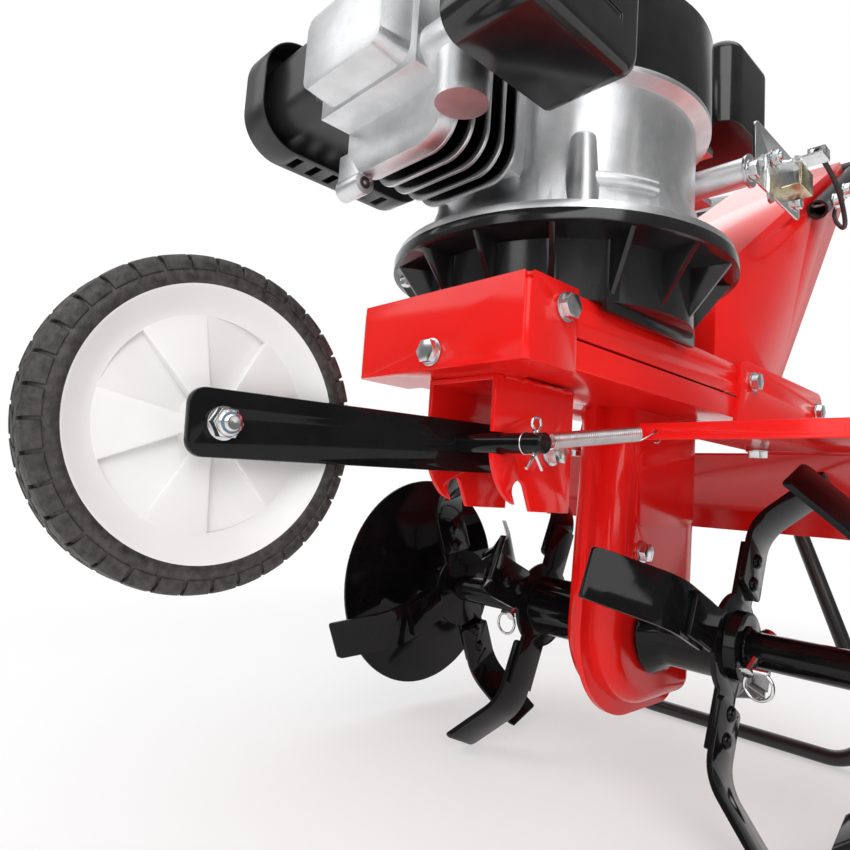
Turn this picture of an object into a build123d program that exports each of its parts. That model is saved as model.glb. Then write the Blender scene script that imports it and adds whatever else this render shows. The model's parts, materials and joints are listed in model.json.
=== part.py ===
import os
from math import acos, atan2, cos, degrees, hypot, pi, radians, sin, sqrt, tan

from build123d import *

os.makedirs("parts", exist_ok=True)

# Garden tiller: +Z up, ground at z = 0, the front wheel towards -Y, the machine's left side at +X.

# Tine set
tine_radius = 160.0
tine_shaft_diameter = 25.0
hub_diameter = 62.0
hub_wall = 5.0
hub_start = 31.0
guard_diameter = 84.0
guard_length = 20.0
inner_star = 105.0
outer_star = 230.0
hub_overhang = 13.0
outer_tube_diameter = 31.0
outer_tube_end = 292.0
shaft_end = 160.0
carrier_thickness = 5.0
carrier_core = 92.0
carrier_arm_width = 38.0
carrier_arm_reach = 92.0
carrier_corner = 22.0
blade_thickness = 5.0
blade_width = 44.0
blade_root = 46.0
blade_root_slant = 8.0
blade_bend_start = 93.0
blade_bend_radius = 45.0
blade_bend_angle = 45.0
blade_corner = 5.0
blade_lean = 22.5
rivet_diameter = 14.0
rivet_height = 4.0
rivet_spacing = 22.0
rivet_first = 58.0
disc_diameter = 264.0
disc_thickness = 3.0
disc_dish = 7.0
disc_flat = 90.0
pin_diameter = 9.0
pin_station = 127.5
pin_turn = 27.0
pin_reach = 17.5
clip_wire = 3.0
clip_ring = 23.0
linch_diameter = 5.0
linch_length = 22.0
linch_shift = 4.0
ring_shift = 8.0

# Frame
frame_lift = 208.0
frame_depth = 60.0
frame_width = 176.0
frame_front = 295.0
frame_rear = 140.0
sheet = 3.0
box_length = 56.0
box_lip = 26.0
box_corner = 5.0
seam_height = 26.5
seam_gap = 2.0
bolt_size = 10.0
bolt_gap = 0.3
side_bolt_setback = 40.0
side_bolt_drop = 17.0
front_bolt_rise = 13.0

# Lug plates and fender
lug_thickness = 4.0
lug_front = 46.0
lug_rear = 302.0
lug_top_rise = 4.0
lug_bolt_station = 76.0
lug_bolt_drop = 15.5
lug_flange = 34.0
stand_station = 280.0
stand_drop = 20.0
fender_lift = 182.0
fender_front = 155.0
fender_flat_rear = 112.0
fender_fold_station = 215.0
fender_fold_lift = 121.0
fender_lip = 12.0
fender_rear_lip = 24.0
fender_inner = 92.0
fender_half_width = 262.0
fender_sheet = 2.0
fender_bolt_station = 51.0
fender_rear_bolt_station = 180.0
fender_bolt_offset = 104.0

# Handle column
column_half_width = 75.0
column_sheet = 4.0
column_front_foot = 16.0
column_knee_rise = 90.0
column_front_top_station = 430.0
column_front_top_rise = 375.0
column_rear_top_station = 472.0
column_rear_top_rise = 346.0
column_rear_foot = 178.0
column_rear_knee = 190.0
column_foot_drop = 38.0

# Rear stand
stand_tube = 17.0
stand_top_inset = 11.0
stand_half_foot = 172.0
stand_knee = 258.0
stand_lean = 18.0
stand_bend = 45.0
stand_eye = 24.0
stand_eye_thickness = 9.0

# Wheel bracket, arm and latch
bracket_spread = 67.2
bracket_sheet = 4.0
bracket_front = 262.0
bracket_rear = 163.0
bracket_drop = 100.0
pivot_station = 192.0
pivot_lift = 157.0
pivot_bolt_size = 12.0
sleeve_diameter = 22.0
rod_station = 251.6
rod_lift = 157.3
rod_diameter = 15.0
rod_end = 75.0
slot_gap = 0.5
notch_station = 229.0
notch_lift = 123.0
wheel_ahead = 451.5
axle_lift = 149.5
arm_height = 40.0
arm_thickness = 6.0
arm_near_face = -5.0
axle_size = 10.0
tyre_radius = 100.0
tyre_width = 32.0
tyre_inner_radius = 82.0
hub_half_length = 16.5
wheel_gap = 1.5
wheel_hub_diameter = 36.0
rim_sheet = 3.5
rim_wedge_count = 5
rim_wedge_first = 24.0
running_gap = 0.05
clip_station = 66.0
clip_pin = 2.4

# Latch spring
spring_diameter = 12.6
spring_wire = 1.2
spring_coils = 42
spring_pitch = 1.75
spring_hook_x = 105.0
spring_start_x = 58.0

# Gear case
case_half_width = 28.0
case_radius = 74.0
case_top_front = 62.0
case_top_rear = 95.0
case_heel_radius = 18.0
case_heel_rear = 88.0
case_heel_drop = 74.0
case_edge = 16.0
case_wall = 3.0
case_flange = 14.5
case_flange_thickness = 3.0
mesh_gap = 0.4
worm_shaft_diameter = 15.0
worm_diameter = 25.2
worm_length = 46.0
wheel_gear_diameter = 66.0
wheel_gear_width = 22.0
wheel_gear_teeth = 30
tine_bearing_diameter = 52.0
tine_bearing_width = 12.0
worm_bearing_diameter = 32.0
worm_bearing_width = 9.0
upper_bearing_lift = 145.0
lower_bearing_drop = 40.0
filler_bolt_lift = 74.0
filler_bolt_ahead = 27.0
panel_rise = 1.5
panel_length = 120.0
panel_height = 74.0
panel_corner = 15.0
panel_behind = 18.0
panel_lift = 135.0

# Belt drive
engine_ahead = 144.0
engine_pulley_diameter = 60.0
driven_pulley_diameter = 138.0
pulley_width = 20.0
pulley_lift = 17.0
belt_width = 12.0
belt_height = 8.0
belt_gap = 0.5
groove_depth = 10.0
idler_diameter = 30.0
idler_x = 10.0
idler_station = 68.0
idler_pivot_x = -8.0
idler_pivot_station = 34.0
idler_arm_thickness = 4.0
idler_arm_width = 22.0
idler_pin_diameter = 10.0

# Engine
adapter_drum_radius = 116.0
adapter_wall = 7.0
adapter_rim_radius = 150.0
adapter_rim_thickness = 9.0
adapter_height = 55.0
adapter_ribs = 16
adapter_rib_thickness = 4.0
skirt_drop = 7.0
skirt_thickness = 5.0
case_rim_radius = 147.0
case_rim_thickness = 7.0
crankcase_radius = 114.0
crankcase_height = 124.0
crankcase_wall = 4.0
crankshaft_diameter = 25.0
cylinder_width = 104.0
cylinder_height = 104.0
cylinder_floor = 30.0
cylinder_core = 72.0
fin_count = 5
fin_thickness = 3.0
fin_corner = 24.0
cylinder_front = 336.0
head_plate = 13.0
head_length = 39.0
head_block_lift = 15.0
head_boss_radius = 8.5
head_boss_length = 26.0
rocker_cover_length = 23.0
rocker_cover_width = 92.0
muffler_width = 84.0
muffler_length = 113.0
muffler_height = 72.0
muffler_rise = 46.0
muffler_gap = 20.0
port_radius = 9.5
port_flange = 27.0
port_rise = 30.0
shield_gap = 7.0
shield_length = 185.0
shield_depth = 32.0
shield_margin = 13.0
shield_corner = 35.0
shield_sheet = 1.5
blower_radius = 126.0
blower_height = 82.0
blower_wall = 3.0
recoil_radius = 92.0
recoil_height = 34.0
flywheel_radius = 96.0
flywheel_thickness = 18.0
tank_width = 200.0
tank_length = 98.0
tank_height = 90.0
tank_rise = 55.0
cap_diameter = 56.0
cap_height = 22.0
filter_length = 110.0
filter_width = 60.0
filter_height = 118.0
filter_drop = 35.0
carburettor_length = 48.0
engine_bolt_size = 8.0
engine_bolt_count = 3
engine_bolt_circle = 136.0
control_reach = 126.0
control_ahead = 112.0
control_lift = 98.0
control_height = 58.0
control_length = 118.0
boss_tube_radius = 13.0
boss_tube_behind = 103.0
boss_tube_lift = 102.0

# Handlebars
handle_tube = 25.0
handle_low_station = 285.0
handle_low_lift = 512.0
handle_knee_station = 470.0
handle_knee_lift = 640.0
handle_end_run = 210.0
handle_half_wide = 270.0
handle_reach = 900.0
handle_top_lift = 760.0
handle_bend = 110.0
grip_length = 115.0
grip_diameter = 34.0
lever_clamp_length = 34.0
cable_diameter = 5.0

# Places worked out from the sizes
tine_z = tine_radius
front_reach = wheel_ahead + tyre_radius
tine_y = (front_reach - handle_reach) / 2
frame_bottom = tine_z + frame_lift
frame_top = frame_bottom + frame_depth
front_y = tine_y - frame_front
rear_y = tine_y + frame_rear
engine_y = tine_y - engine_ahead
half_frame = frame_width / 2
half_deck = half_frame - sheet
stand_half_top = half_deck - stand_top_inset
deck_top = frame_top - sheet
pan_bottom = frame_bottom + sheet
seam_z = frame_bottom + seam_height
deck_front = front_y + sheet
deck_length = rear_y - deck_front
deck_middle_y = (rear_y + deck_front) / 2
half_bolt_hole = bolt_size / 2 + bolt_gap
worm_y = tine_y + wheel_gear_diameter / 2 + worm_diameter / 2 + mesh_gap
pulley_z = pan_bottom + pulley_lift
adapter_top = deck_top + adapter_height
case_top_z = adapter_top + crankcase_height
cylinder_front_y = tine_y - cylinder_front
cylinder_rear_y = engine_y - crankcase_radius - 8
fin_rear_y = engine_y - blower_radius - 2
cylinder_bottom = adapter_top + cylinder_floor
cylinder_middle_z = cylinder_bottom + cylinder_height / 2


def side_plane(x, y, z):
    facing = 1 if x >= 0 else -1
    return Plane(origin=(x, y, z), x_dir=(0, facing, 0), z_dir=(facing, 0, 0))


def hex_bolt(seat, size, grip, nut=True):
    with BuildSketch(seat) as washer:
        Circle(size * 1.05)
    extrude(washer.sketch, amount=size * 0.2)
    with BuildSketch(seat.offset(size * 0.2)) as head:
        RegularPolygon(radius=size * 0.93, side_count=6)
    extrude(head.sketch, amount=size * 0.6)
    with BuildSketch(seat) as shank:
        Circle(size / 2)
    extrude(shank.sketch, amount=-grip - (size * 1.1 if nut else 0))
    if nut:
        with BuildSketch(seat.offset(-grip)) as hexagon:
            RegularPolygon(radius=size * 0.93, side_count=6)
        extrude(hexagon.sketch, amount=-size * 0.8)


def drill(seat, radius, depth):
    with BuildSketch(seat) as hole:
        Circle(radius)
    extrude(hole.sketch, amount=depth, both=True, mode=Mode.SUBTRACT)


def save(piece, name):
    piece.part.label = name
    export_step(piece.part, f"parts/{name}.step")


# Bolt seats on the frame
side_bolt_y = front_y + side_bolt_setback
side_bolt_z = frame_top - side_bolt_drop
lug_bolt_y = tine_y + lug_bolt_station
lug_bolt_z = frame_top - lug_bolt_drop
stand_y = tine_y + stand_station
stand_z = frame_top - stand_drop
front_bolt_z = frame_bottom + front_bolt_rise
front_seat = Plane(origin=(0, front_y, front_bolt_z), x_dir=(1, 0, 0), z_dir=(0, -1, 0))
box_seats = [side_plane(s * half_frame, side_bolt_y, side_bolt_z) for s in (1, -1)]
lug_face = half_deck + lug_thickness
lug_seats = [side_plane(s * lug_face, lug_bolt_y, lug_bolt_z) for s in (1, -1)]
stand_seats = [side_plane(s * lug_face, stand_y, stand_z) for s in (1, -1)]

engine_bolt_turns = [radians(45 + 90 * k) for k in range(engine_bolt_count)]
engine_bolt_places = [
    (engine_bolt_circle * cos(turn), engine_y + engine_bolt_circle * sin(turn))
    for turn in engine_bolt_turns
]
deck_bolt_x = 64.0
deck_bolt_y = 36.0
deck_bolt_places = [
    (sx * deck_bolt_x, engine_y + sy * deck_bolt_y)
    for sx in (1, -1)
    for sy in (1, -1)
]
column_bolt_x = 45.0
column_bolt_y = tine_y + 100
column_bolt_places = [(s * column_bolt_x, column_bolt_y) for s in (1, -1)]
case_bolt_x = 15.0
case_bolt_ahead = 14.0
case_bolt_behind = 70.0
case_bolt_places = [
    (sx * case_bolt_x, tine_y + y)
    for sx in (1, -1)
    for y in (-case_bolt_ahead, case_bolt_behind)
]
engine_bolt_hole = engine_bolt_size / 2 + bolt_gap


def drill_down(places, top, depth):
    with BuildSketch(Plane.XY.offset(top)) as holes:
        with Locations(*places):
            Circle(engine_bolt_hole)
    extrude(holes.sketch, amount=-depth, mode=Mode.SUBTRACT)


# Front box: a folded cap over the front end of the deck and the pan
with BuildPart() as front_box:
    with BuildSketch(Plane.XY.offset(frame_bottom)):
        with Locations((0, front_y + box_length / 2)):
            Rectangle(frame_width, box_length)
    extrude(amount=frame_depth)
    fillet(front_box.edges().filter_by(Axis.Z).group_by(Axis.Y)[0], radius=box_corner)
    with Locations((0, front_y + sheet + box_length / 2, frame_bottom + frame_depth / 2)):
        Box(frame_width - 2 * sheet, box_length, frame_depth - 2 * sheet, mode=Mode.SUBTRACT)
    with Locations((0, front_y + box_lip + box_length / 2, frame_top)):
        Box(frame_width - 2 * sheet, box_length, 3 * sheet, mode=Mode.SUBTRACT)
    for s in (1, -1):
        with Locations((s * (half_frame - sheet), front_y + sheet, frame_top)):
            Cylinder(sheet, 4 * sheet, mode=Mode.SUBTRACT)
    drill(front_seat, half_bolt_hole, 2 * sheet)
    for seat in box_seats:
        drill(seat, half_bolt_hole, 2 * sheet)
save(front_box, "front_box")

# Upper deck: a channel, open below, that carries the engine
crank_hole = 90.0
with BuildPart() as upper_deck:
    with Locations((0, deck_middle_y, (seam_z + deck_top) / 2)):
        Box(2 * half_deck, deck_length, deck_top - seam_z)
    with Locations((0, deck_middle_y, (seam_z + deck_top) / 2 - sheet)):
        Box(2 * (half_deck - sheet), deck_length, deck_top - seam_z, mode=Mode.SUBTRACT)
    with Locations((0, engine_y, deck_top)):
        Cylinder(crank_hole / 2, 4 * sheet, mode=Mode.SUBTRACT)
    for seat in box_seats + lug_seats:
        drill(seat, half_bolt_hole, 4 * sheet)
    drill_down(deck_bolt_places + column_bolt_places, deck_top, sheet)
save(upper_deck, "upper_deck")

# Belly pan: a channel, open above, with the idler's pivot stud
pan_rim = seam_z - seam_gap
pan_floor = pan_bottom + sheet
neck_hole = 44.0
stud_height = 9.0
idler_pivot_y = tine_y - idler_pivot_station
with BuildPart() as belly_pan:
    with Locations((0, deck_middle_y, (pan_bottom + pan_rim) / 2)):
        Box(2 * half_deck, deck_length, pan_rim - pan_bottom)
    with Locations((0, deck_middle_y, (pan_bottom + pan_rim) / 2 + sheet)):
        Box(2 * (half_deck - sheet), deck_length, pan_rim - pan_bottom, mode=Mode.SUBTRACT)
    with Locations((0, worm_y, pan_bottom)):
        Cylinder(neck_hole / 2, 4 * sheet, mode=Mode.SUBTRACT)
    with Locations((idler_pivot_x, idler_pivot_y, pan_floor)):
        Cylinder(idler_pin_diameter / 2, stud_height, align=(Align.CENTER, Align.CENTER, Align.MIN))
    drill_down(case_bolt_places, pan_floor, sheet)
save(belly_pan, "belly_pan")

# Lug plates: side plates at the rear, each with a foot flange for the fender
fender_top = tine_z + fender_lift
flange_top = fender_top + lug_thickness
lug_top = frame_top + lug_top_rise
lug_nose = lug_bolt_drop + lug_top_rise
lug_front_y = tine_y + lug_front
lug_rear_y = tine_y + lug_rear
fender_bolt_y = tine_y + fender_bolt_station
fender_rear_bolt_y = tine_y + fender_rear_bolt_station
fender_seats = [
    Plane(origin=(s * fender_bolt_offset, y, fender_top - fender_sheet), z_dir=(0, 0, -1))
    for s in (1, -1)
    for y in (fender_bolt_y, fender_rear_bolt_y)
]
flange_length = fender_rear_bolt_y - fender_bolt_y + lug_flange
with BuildPart() as lug_plates:
    for s in (1, -1):
        with BuildSketch(Plane.YZ.offset(s * half_deck)):
            with BuildLine():
                Polyline(
                    (lug_front_y, lug_top),
                    (lug_front_y, lug_top - 2 * lug_nose),
                    (fender_bolt_y - lug_flange / 2, fender_top + lug_thickness * 4),
                    (fender_bolt_y - lug_flange / 2, fender_top),
                    (fender_rear_bolt_y + lug_flange / 2, fender_top),
                    (lug_rear_y, stand_z - lug_nose),
                    (lug_rear_y, lug_top),
                    close=True,
                )
            make_face()
            fillet(vertices().sort_by(Axis.Y)[0:2], radius=lug_nose * 0.8)
            fillet(vertices().sort_by(Axis.Y)[-2:], radius=lug_nose * 0.8)
        extrude(amount=s * lug_thickness)
        with Locations((s * (half_deck + lug_flange / 2), (fender_bolt_y + fender_rear_bolt_y) / 2,
                        fender_top + lug_thickness / 2)):
            Box(lug_flange, flange_length, lug_thickness)
    for seat in lug_seats + stand_seats:
        drill(seat, half_bolt_hole, 2 * lug_thickness)
    for seat in fender_seats:
        drill(seat, half_bolt_hole, 4 * lug_thickness)
save(lug_plates, "lug_plates")

# Tine fender: a wide sheet over the tines with a front lip, a rear slope and a rear lip
fender_front_y = tine_y - fender_front
fender_flat_y = tine_y + fender_flat_rear
fender_fold_y = tine_y + fender_fold_station
fender_fold_z = tine_z + fender_fold_lift
with BuildPart() as tine_fender:
    with BuildSketch(Plane.YZ):
        with BuildLine():
            ridge = Polyline(
                (fender_front_y, fender_top - fender_lip),
                (fender_front_y, fender_top - fender_sheet / 2),
                (fender_flat_y, fender_top - fender_sheet / 2),
                (fender_fold_y, fender_fold_z),
                (fender_fold_y, fender_fold_z - fender_rear_lip),
            )
            offset(ridge, amount=fender_sheet / 2)
        make_face()
    extrude(amount=fender_half_width, both=True)
    with Locations((0, fender_flat_y - fender_front, fender_top)):
        Box(2 * fender_inner, 2 * fender_front, 4 * fender_lip, mode=Mode.SUBTRACT)
    spring_eye = Plane.XZ.offset(-fender_front_y)
    spring_hook_z = fender_top - fender_lip * 0.6
    with BuildSketch(spring_eye):
        with Locations((spring_hook_x, spring_hook_z)):
            Circle(spring_wire * 2)
    extrude(amount=4 * fender_sheet, both=True, mode=Mode.SUBTRACT)
    for seat in fender_seats:
        drill(seat, half_bolt_hole, 2 * fender_sheet)
save(tine_fender, "tine_fender")

# Handle column: a folded channel, open at the back, that stands on the deck
column_foot_z = deck_top
column_front_y = tine_y + column_front_foot
column_outline = [
    (column_front_y, column_foot_z),
    (column_front_y, column_foot_z + column_knee_rise),
    (tine_y + column_front_top_station, column_foot_z + column_front_top_rise),
    (tine_y + column_rear_top_station, column_foot_z + column_rear_top_rise),
    (tine_y + column_rear_knee, column_foot_z),
    (tine_y + column_rear_foot, column_foot_z - column_foot_drop),
    (rear_y + bolt_gap, column_foot_z - column_foot_drop),
    (rear_y + bolt_gap, column_foot_z),
]
handle_low_y = tine_y + handle_low_station
handle_low_z = tine_z + handle_low_lift
handle_knee_y = tine_y + handle_knee_station
handle_knee_z = tine_z + handle_knee_lift
handle_slope = atan2(handle_knee_z - handle_low_z, handle_knee_y - handle_low_y)
handle_half_low = column_half_width + handle_tube / 2
handle_face = handle_half_low + handle_tube / 2


def along_handle(distance):
    return handle_low_y + distance * cos(handle_slope), handle_low_z + distance * sin(handle_slope)


handle_bolt_first = 28.0
handle_bolt_second = 82.0
handle_seats = [
    side_plane(s * handle_face, *along_handle(d))
    for s in (1, -1)
    for d in (handle_bolt_first, handle_bolt_second)
]
with BuildPart() as handle_column:
    with BuildSketch(Plane.YZ):
        with BuildLine():
            Polyline(*column_outline, close=True)
        make_face()
    extrude(amount=column_half_width, both=True)
    with BuildSketch(Plane.YZ):
        with BuildLine():
            Polyline(
                (column_front_y + column_sheet, column_foot_z + column_sheet),
                (column_front_y + column_sheet, column_foot_z + column_knee_rise - column_sheet),
                (tine_y + column_front_top_station + column_knee_rise,
                 column_foot_z + column_front_top_rise - column_sheet * 2 + column_knee_rise
                 * (column_front_top_rise - column_knee_rise)
                 / (column_front_top_station - column_front_foot)),
                (tine_y + column_rear_top_station + 2 * column_knee_rise, column_foot_z),
                (tine_y + column_rear_top_station, column_foot_z - 2 * column_foot_drop),
                (rear_y + column_sheet, column_foot_z - 2 * column_foot_drop),
                (rear_y + column_sheet, column_foot_z + column_sheet),
                close=True,
            )
        make_face()
    extrude(amount=column_half_width - column_sheet, both=True, mode=Mode.SUBTRACT)
    for seat in handle_seats:
        drill(seat, half_bolt_hole, 3 * handle_tube)
    drill_down(column_bolt_places, column_foot_z + column_sheet, column_sheet)
save(handle_column, "handle_column")

# Wheel bracket: two hook plates under the front box, joined by a web
half_spread = bracket_spread / 2
bracket_top = frame_bottom
bracket_low = frame_bottom - bracket_drop
bracket_front_y = tine_y - bracket_front
bracket_rear_y = tine_y - bracket_rear
pivot_y = tine_y - pivot_station
pivot_z = tine_z + pivot_lift
rod_y = tine_y - rod_station
rod_z = tine_z + rod_lift
notch_y = tine_y - notch_station
notch_z = tine_z + notch_lift
slot_radius = rod_diameter / 2 + slot_gap
lobe_tip_y = notch_y - 1.6 * slot_radius
lobe_tip_z = bracket_low + slot_radius
with BuildPart() as wheel_bracket:
    for s in (1, -1):
        with BuildSketch(Plane.YZ.offset(s * half_spread)):
            with BuildLine():
                Polyline(
                    (lobe_tip_y, lobe_tip_z),
                    (notch_y + slot_radius, bracket_low),
                    (bracket_rear_y, bracket_low),
                    (bracket_rear_y, bracket_top),
                    (bracket_front_y, bracket_top),
                    (bracket_front_y, rod_z - slot_radius),
                )
                ThreePointArc(
                    (bracket_front_y, rod_z - slot_radius),
                    ((bracket_front_y * 2 + lobe_tip_y) / 3 - 1, (rod_z + lobe_tip_z) / 2 - slot_radius / 2),
                    (lobe_tip_y, lobe_tip_z),
                )
            make_face()
            with Locations((rod_y, rod_z), (notch_y, notch_z)):
                Circle(slot_radius, mode=Mode.SUBTRACT)
            with Locations((rod_y - slot_radius * 2, rod_z)):
                Rectangle(slot_radius * 4, slot_radius * 2, mode=Mode.SUBTRACT)
            with Locations(Location((notch_y, notch_z), 25)):
                Rectangle(slot_radius * 2, slot_radius * 8, align=(Align.CENTER, Align.MAX),
                          mode=Mode.SUBTRACT)
        extrude(amount=bracket_sheet / 2, both=True)
    with Locations((0, (bracket_front_y + bracket_rear_y) / 2, bracket_top - bracket_sheet / 2)):
        Box(bracket_spread, bracket_rear_y - bracket_front_y, bracket_sheet)
    with Locations((0, pivot_y, pivot_z)):
        Cylinder(pivot_bolt_size / 2 + running_gap, 2 * bracket_spread, rotation=(0, 90, 0),
                 mode=Mode.SUBTRACT)
save(wheel_bracket, "wheel_bracket")

# Pivot bolt with its nut on the near side
plate_face = half_spread + bracket_sheet / 2
pivot_washer = 2.0
with BuildPart() as pivot_bolt:
    with Locations((0, pivot_y, pivot_z)):
        Cylinder(pivot_bolt_size / 2, 2 * plate_face + 2 * pivot_bolt_size, rotation=(0, 90, 0))
    for s in (1, -1):
        with BuildSketch(side_plane(s * plate_face, pivot_y, pivot_z)):
            Circle(pivot_bolt_size)
        extrude(amount=pivot_washer)
        with BuildSketch(side_plane(s * (plate_face + pivot_washer), pivot_y, pivot_z)):
            RegularPolygon(radius=pivot_bolt_size * 0.9, side_count=6)
        extrude(amount=pivot_bolt_size * 0.7)
save(pivot_bolt, "pivot_bolt")

# Wheel arm: a flat bar with a pivot sleeve welded across it
axle_y = tine_y - wheel_ahead
axle_z = tine_z + axle_lift
arm_length = hypot(pivot_y - axle_y, pivot_z - axle_z)
arm_slope = degrees(atan2(pivot_z - axle_z, pivot_y - axle_y))
arm_far_face = arm_near_face - arm_thickness
arm_corner = 10.0
sleeve_half = half_spread - bracket_sheet / 2 - slot_gap
with BuildPart() as wheel_arm:
    with BuildSketch(Plane.YZ.offset(arm_far_face)):
        with Locations((axle_y, axle_z)):
            RectangleRounded(arm_height, arm_height, arm_corner, rotation=arm_slope)
        with Locations(((axle_y + pivot_y) / 2, (axle_z + pivot_z) / 2)):
            Rectangle(arm_length, arm_height, rotation=arm_slope)
        with Locations((pivot_y, pivot_z)):
            Circle(arm_height / 2)
    extrude(amount=arm_thickness)
    with Locations((0, pivot_y, pivot_z)):
        Cylinder(sleeve_diameter / 2, 2 * sleeve_half, rotation=(0, 90, 0))
        Cylinder(pivot_bolt_size / 2 + running_gap, 4 * sleeve_half, rotation=(0, 90, 0),
                 mode=Mode.SUBTRACT)
    with Locations((arm_near_face, axle_y, axle_z)):
        Cylinder(axle_size / 2 + running_gap, 4 * arm_thickness, rotation=(0, 90, 0), mode=Mode.SUBTRACT)
save(wheel_arm, "wheel_arm")

# Axle bolt: head outside the far hub end, nut on the arm's near face
wheel_x = arm_far_face - wheel_gap - hub_half_length
far_hub_face = wheel_x - hub_half_length - wheel_gap
nut_height = axle_size * 0.85
axle_washer = 2.0
with BuildPart() as axle_bolt:
    with BuildSketch(side_plane(far_hub_face, axle_y, axle_z)):
        Circle(axle_size * 1.05)
    extrude(amount=axle_washer)
    with BuildSketch(side_plane(far_hub_face - axle_washer, axle_y, axle_z)):
        RegularPolygon(radius=axle_size * 0.93, side_count=6)
    extrude(amount=axle_size * 0.65)
    with BuildSketch(Plane.YZ.offset(far_hub_face)):
        with Locations((axle_y, axle_z)):
            Circle(axle_size / 2)
    extrude(amount=arm_near_face - far_hub_face + nut_height + axle_size * 0.4)
    with BuildSketch(Plane.YZ.offset(arm_near_face)):
        with Locations((axle_y, axle_z)):
            Circle(axle_size)
    extrude(amount=axle_washer)
    with BuildSketch(Plane.YZ.offset(arm_near_face + axle_washer)):
        with Locations((axle_y, axle_z)):
            RegularPolygon(radius=axle_size * 0.94, side_count=6)
    extrude(amount=nut_height - axle_washer)
save(axle_bolt, "axle_bolt")

# Wheel rim: a dished plastic disc with a hub, an outer ring and raised wedges
half_tyre = tyre_width / 2
rim_seat = tyre_inner_radius
rim_ring_inner = rim_seat - 12
wedge_angle = 360 / rim_wedge_count / 2
wedge_rise = half_tyre * 0.55
pocket_inner = wheel_hub_diameter / 2 + 2 * rim_sheet
pocket_outer = rim_ring_inner - 2 * rim_sheet
pocket_turn = radians(wedge_angle / 2 - 4)
wheel_axis = Axis((wheel_x, axle_y, axle_z), (1, 0, 0))
with BuildPart() as wheel_rim:
    with BuildSketch(Plane(origin=(wheel_x, axle_y, axle_z), x_dir=(1, 0, 0), z_dir=(0, -1, 0))):
        with BuildLine():
            Polyline(
                (-hub_half_length, axle_size / 2 + running_gap),
                (hub_half_length, axle_size / 2 + running_gap),
                (hub_half_length, wheel_hub_diameter / 2),
                (rim_sheet / 2, wheel_hub_diameter / 2 + rim_sheet),
                (rim_sheet / 2, rim_ring_inner - rim_sheet),
                (half_tyre - 2.5, rim_ring_inner),
                (half_tyre - 2.5, rim_seat),
                (-half_tyre + 2.5, rim_seat),
                (-half_tyre + 2.5, rim_ring_inner),
                (-rim_sheet / 2, rim_ring_inner - rim_sheet),
                (-rim_sheet / 2, wheel_hub_diameter / 2 + rim_sheet),
                (-hub_half_length, wheel_hub_diameter / 2),
                close=True,
            )
        make_face()
    revolve(axis=wheel_axis)
    with BuildSketch(Plane(origin=(wheel_x, axle_y, axle_z), x_dir=(0, 1, 0), z_dir=(1, 0, 0))):
        for turn in range(rim_wedge_count):
            start = radians(rim_wedge_first + turn * 2 * wedge_angle)
            finish = start + radians(wedge_angle)
            middle = (start + finish) / 2
            with BuildLine():
                Polyline(
                    (0, 0),
                    (rim_ring_inner * cos(start), rim_ring_inner * sin(start)),
                    (rim_ring_inner * cos(middle), rim_ring_inner * sin(middle)),
                    (rim_ring_inner * cos(finish), rim_ring_inner * sin(finish)),
                    close=True,
                )
            make_face()
        Circle(wheel_hub_diameter / 2, mode=Mode.SUBTRACT)
    extrude(amount=wedge_rise, both=True)
    wedge_plane = Plane(origin=(wheel_x - wedge_rise, axle_y, axle_z), x_dir=(0, 1, 0), z_dir=(1, 0, 0))
    with BuildSketch(wedge_plane):
        for turn in range(rim_wedge_count):
            middle = radians(rim_wedge_first + (turn * 2 + 0.5) * wedge_angle)
            with BuildLine():
                Polyline(
                    (pocket_inner * cos(middle - pocket_turn), pocket_inner * sin(middle - pocket_turn)),
                    (pocket_outer * cos(middle - pocket_turn), pocket_outer * sin(middle - pocket_turn)),
                    (pocket_outer * cos(middle + pocket_turn), pocket_outer * sin(middle + pocket_turn)),
                    (pocket_inner * cos(middle + pocket_turn), pocket_inner * sin(middle + pocket_turn)),
                    close=True,
                )
            make_face()
    extrude(amount=2 * wedge_rise - rim_sheet, mode=Mode.SUBTRACT)
save(wheel_rim, "wheel_rim")

# Tyre: a solid ring with rounded shoulders, pressed on the rim
tyre_shoulder = 8.0
with BuildPart() as tyre:
    with BuildSketch(Plane(origin=(wheel_x, axle_y, axle_z), x_dir=(1, 0, 0), z_dir=(0, -1, 0))):
        with BuildLine():
            Line((-half_tyre, tyre_radius - tyre_shoulder), (-half_tyre, rim_seat))
            Line((-half_tyre, rim_seat), (half_tyre, rim_seat))
            Line((half_tyre, rim_seat), (half_tyre, tyre_radius - tyre_shoulder))
            ThreePointArc(
                (half_tyre, tyre_radius - tyre_shoulder),
                (0, tyre_radius),
                (-half_tyre, tyre_radius - tyre_shoulder),
            )
        make_face()
    revolve(axis=wheel_axis)
save(tyre, "tyre")

# Latch rod: seats in the bracket's slot, its inner end close to the arm
rod_start = arm_near_face + bolt_gap
clip_hole = clip_pin * 1.5
with BuildPart() as latch_rod:
    with BuildSketch(Plane.YZ.offset(rod_start)):
        with Locations((rod_y, rod_z)):
            Circle(rod_diameter / 2)
    extrude(amount=rod_end - rod_start)
    chamfer(latch_rod.edges().group_by(Axis.X)[-1], length=1)
    with Locations((clip_station, rod_y, rod_z)):
        Cylinder(clip_hole, 2 * rod_diameter, mode=Mode.SUBTRACT)
save(latch_rod, "latch_rod")

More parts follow.
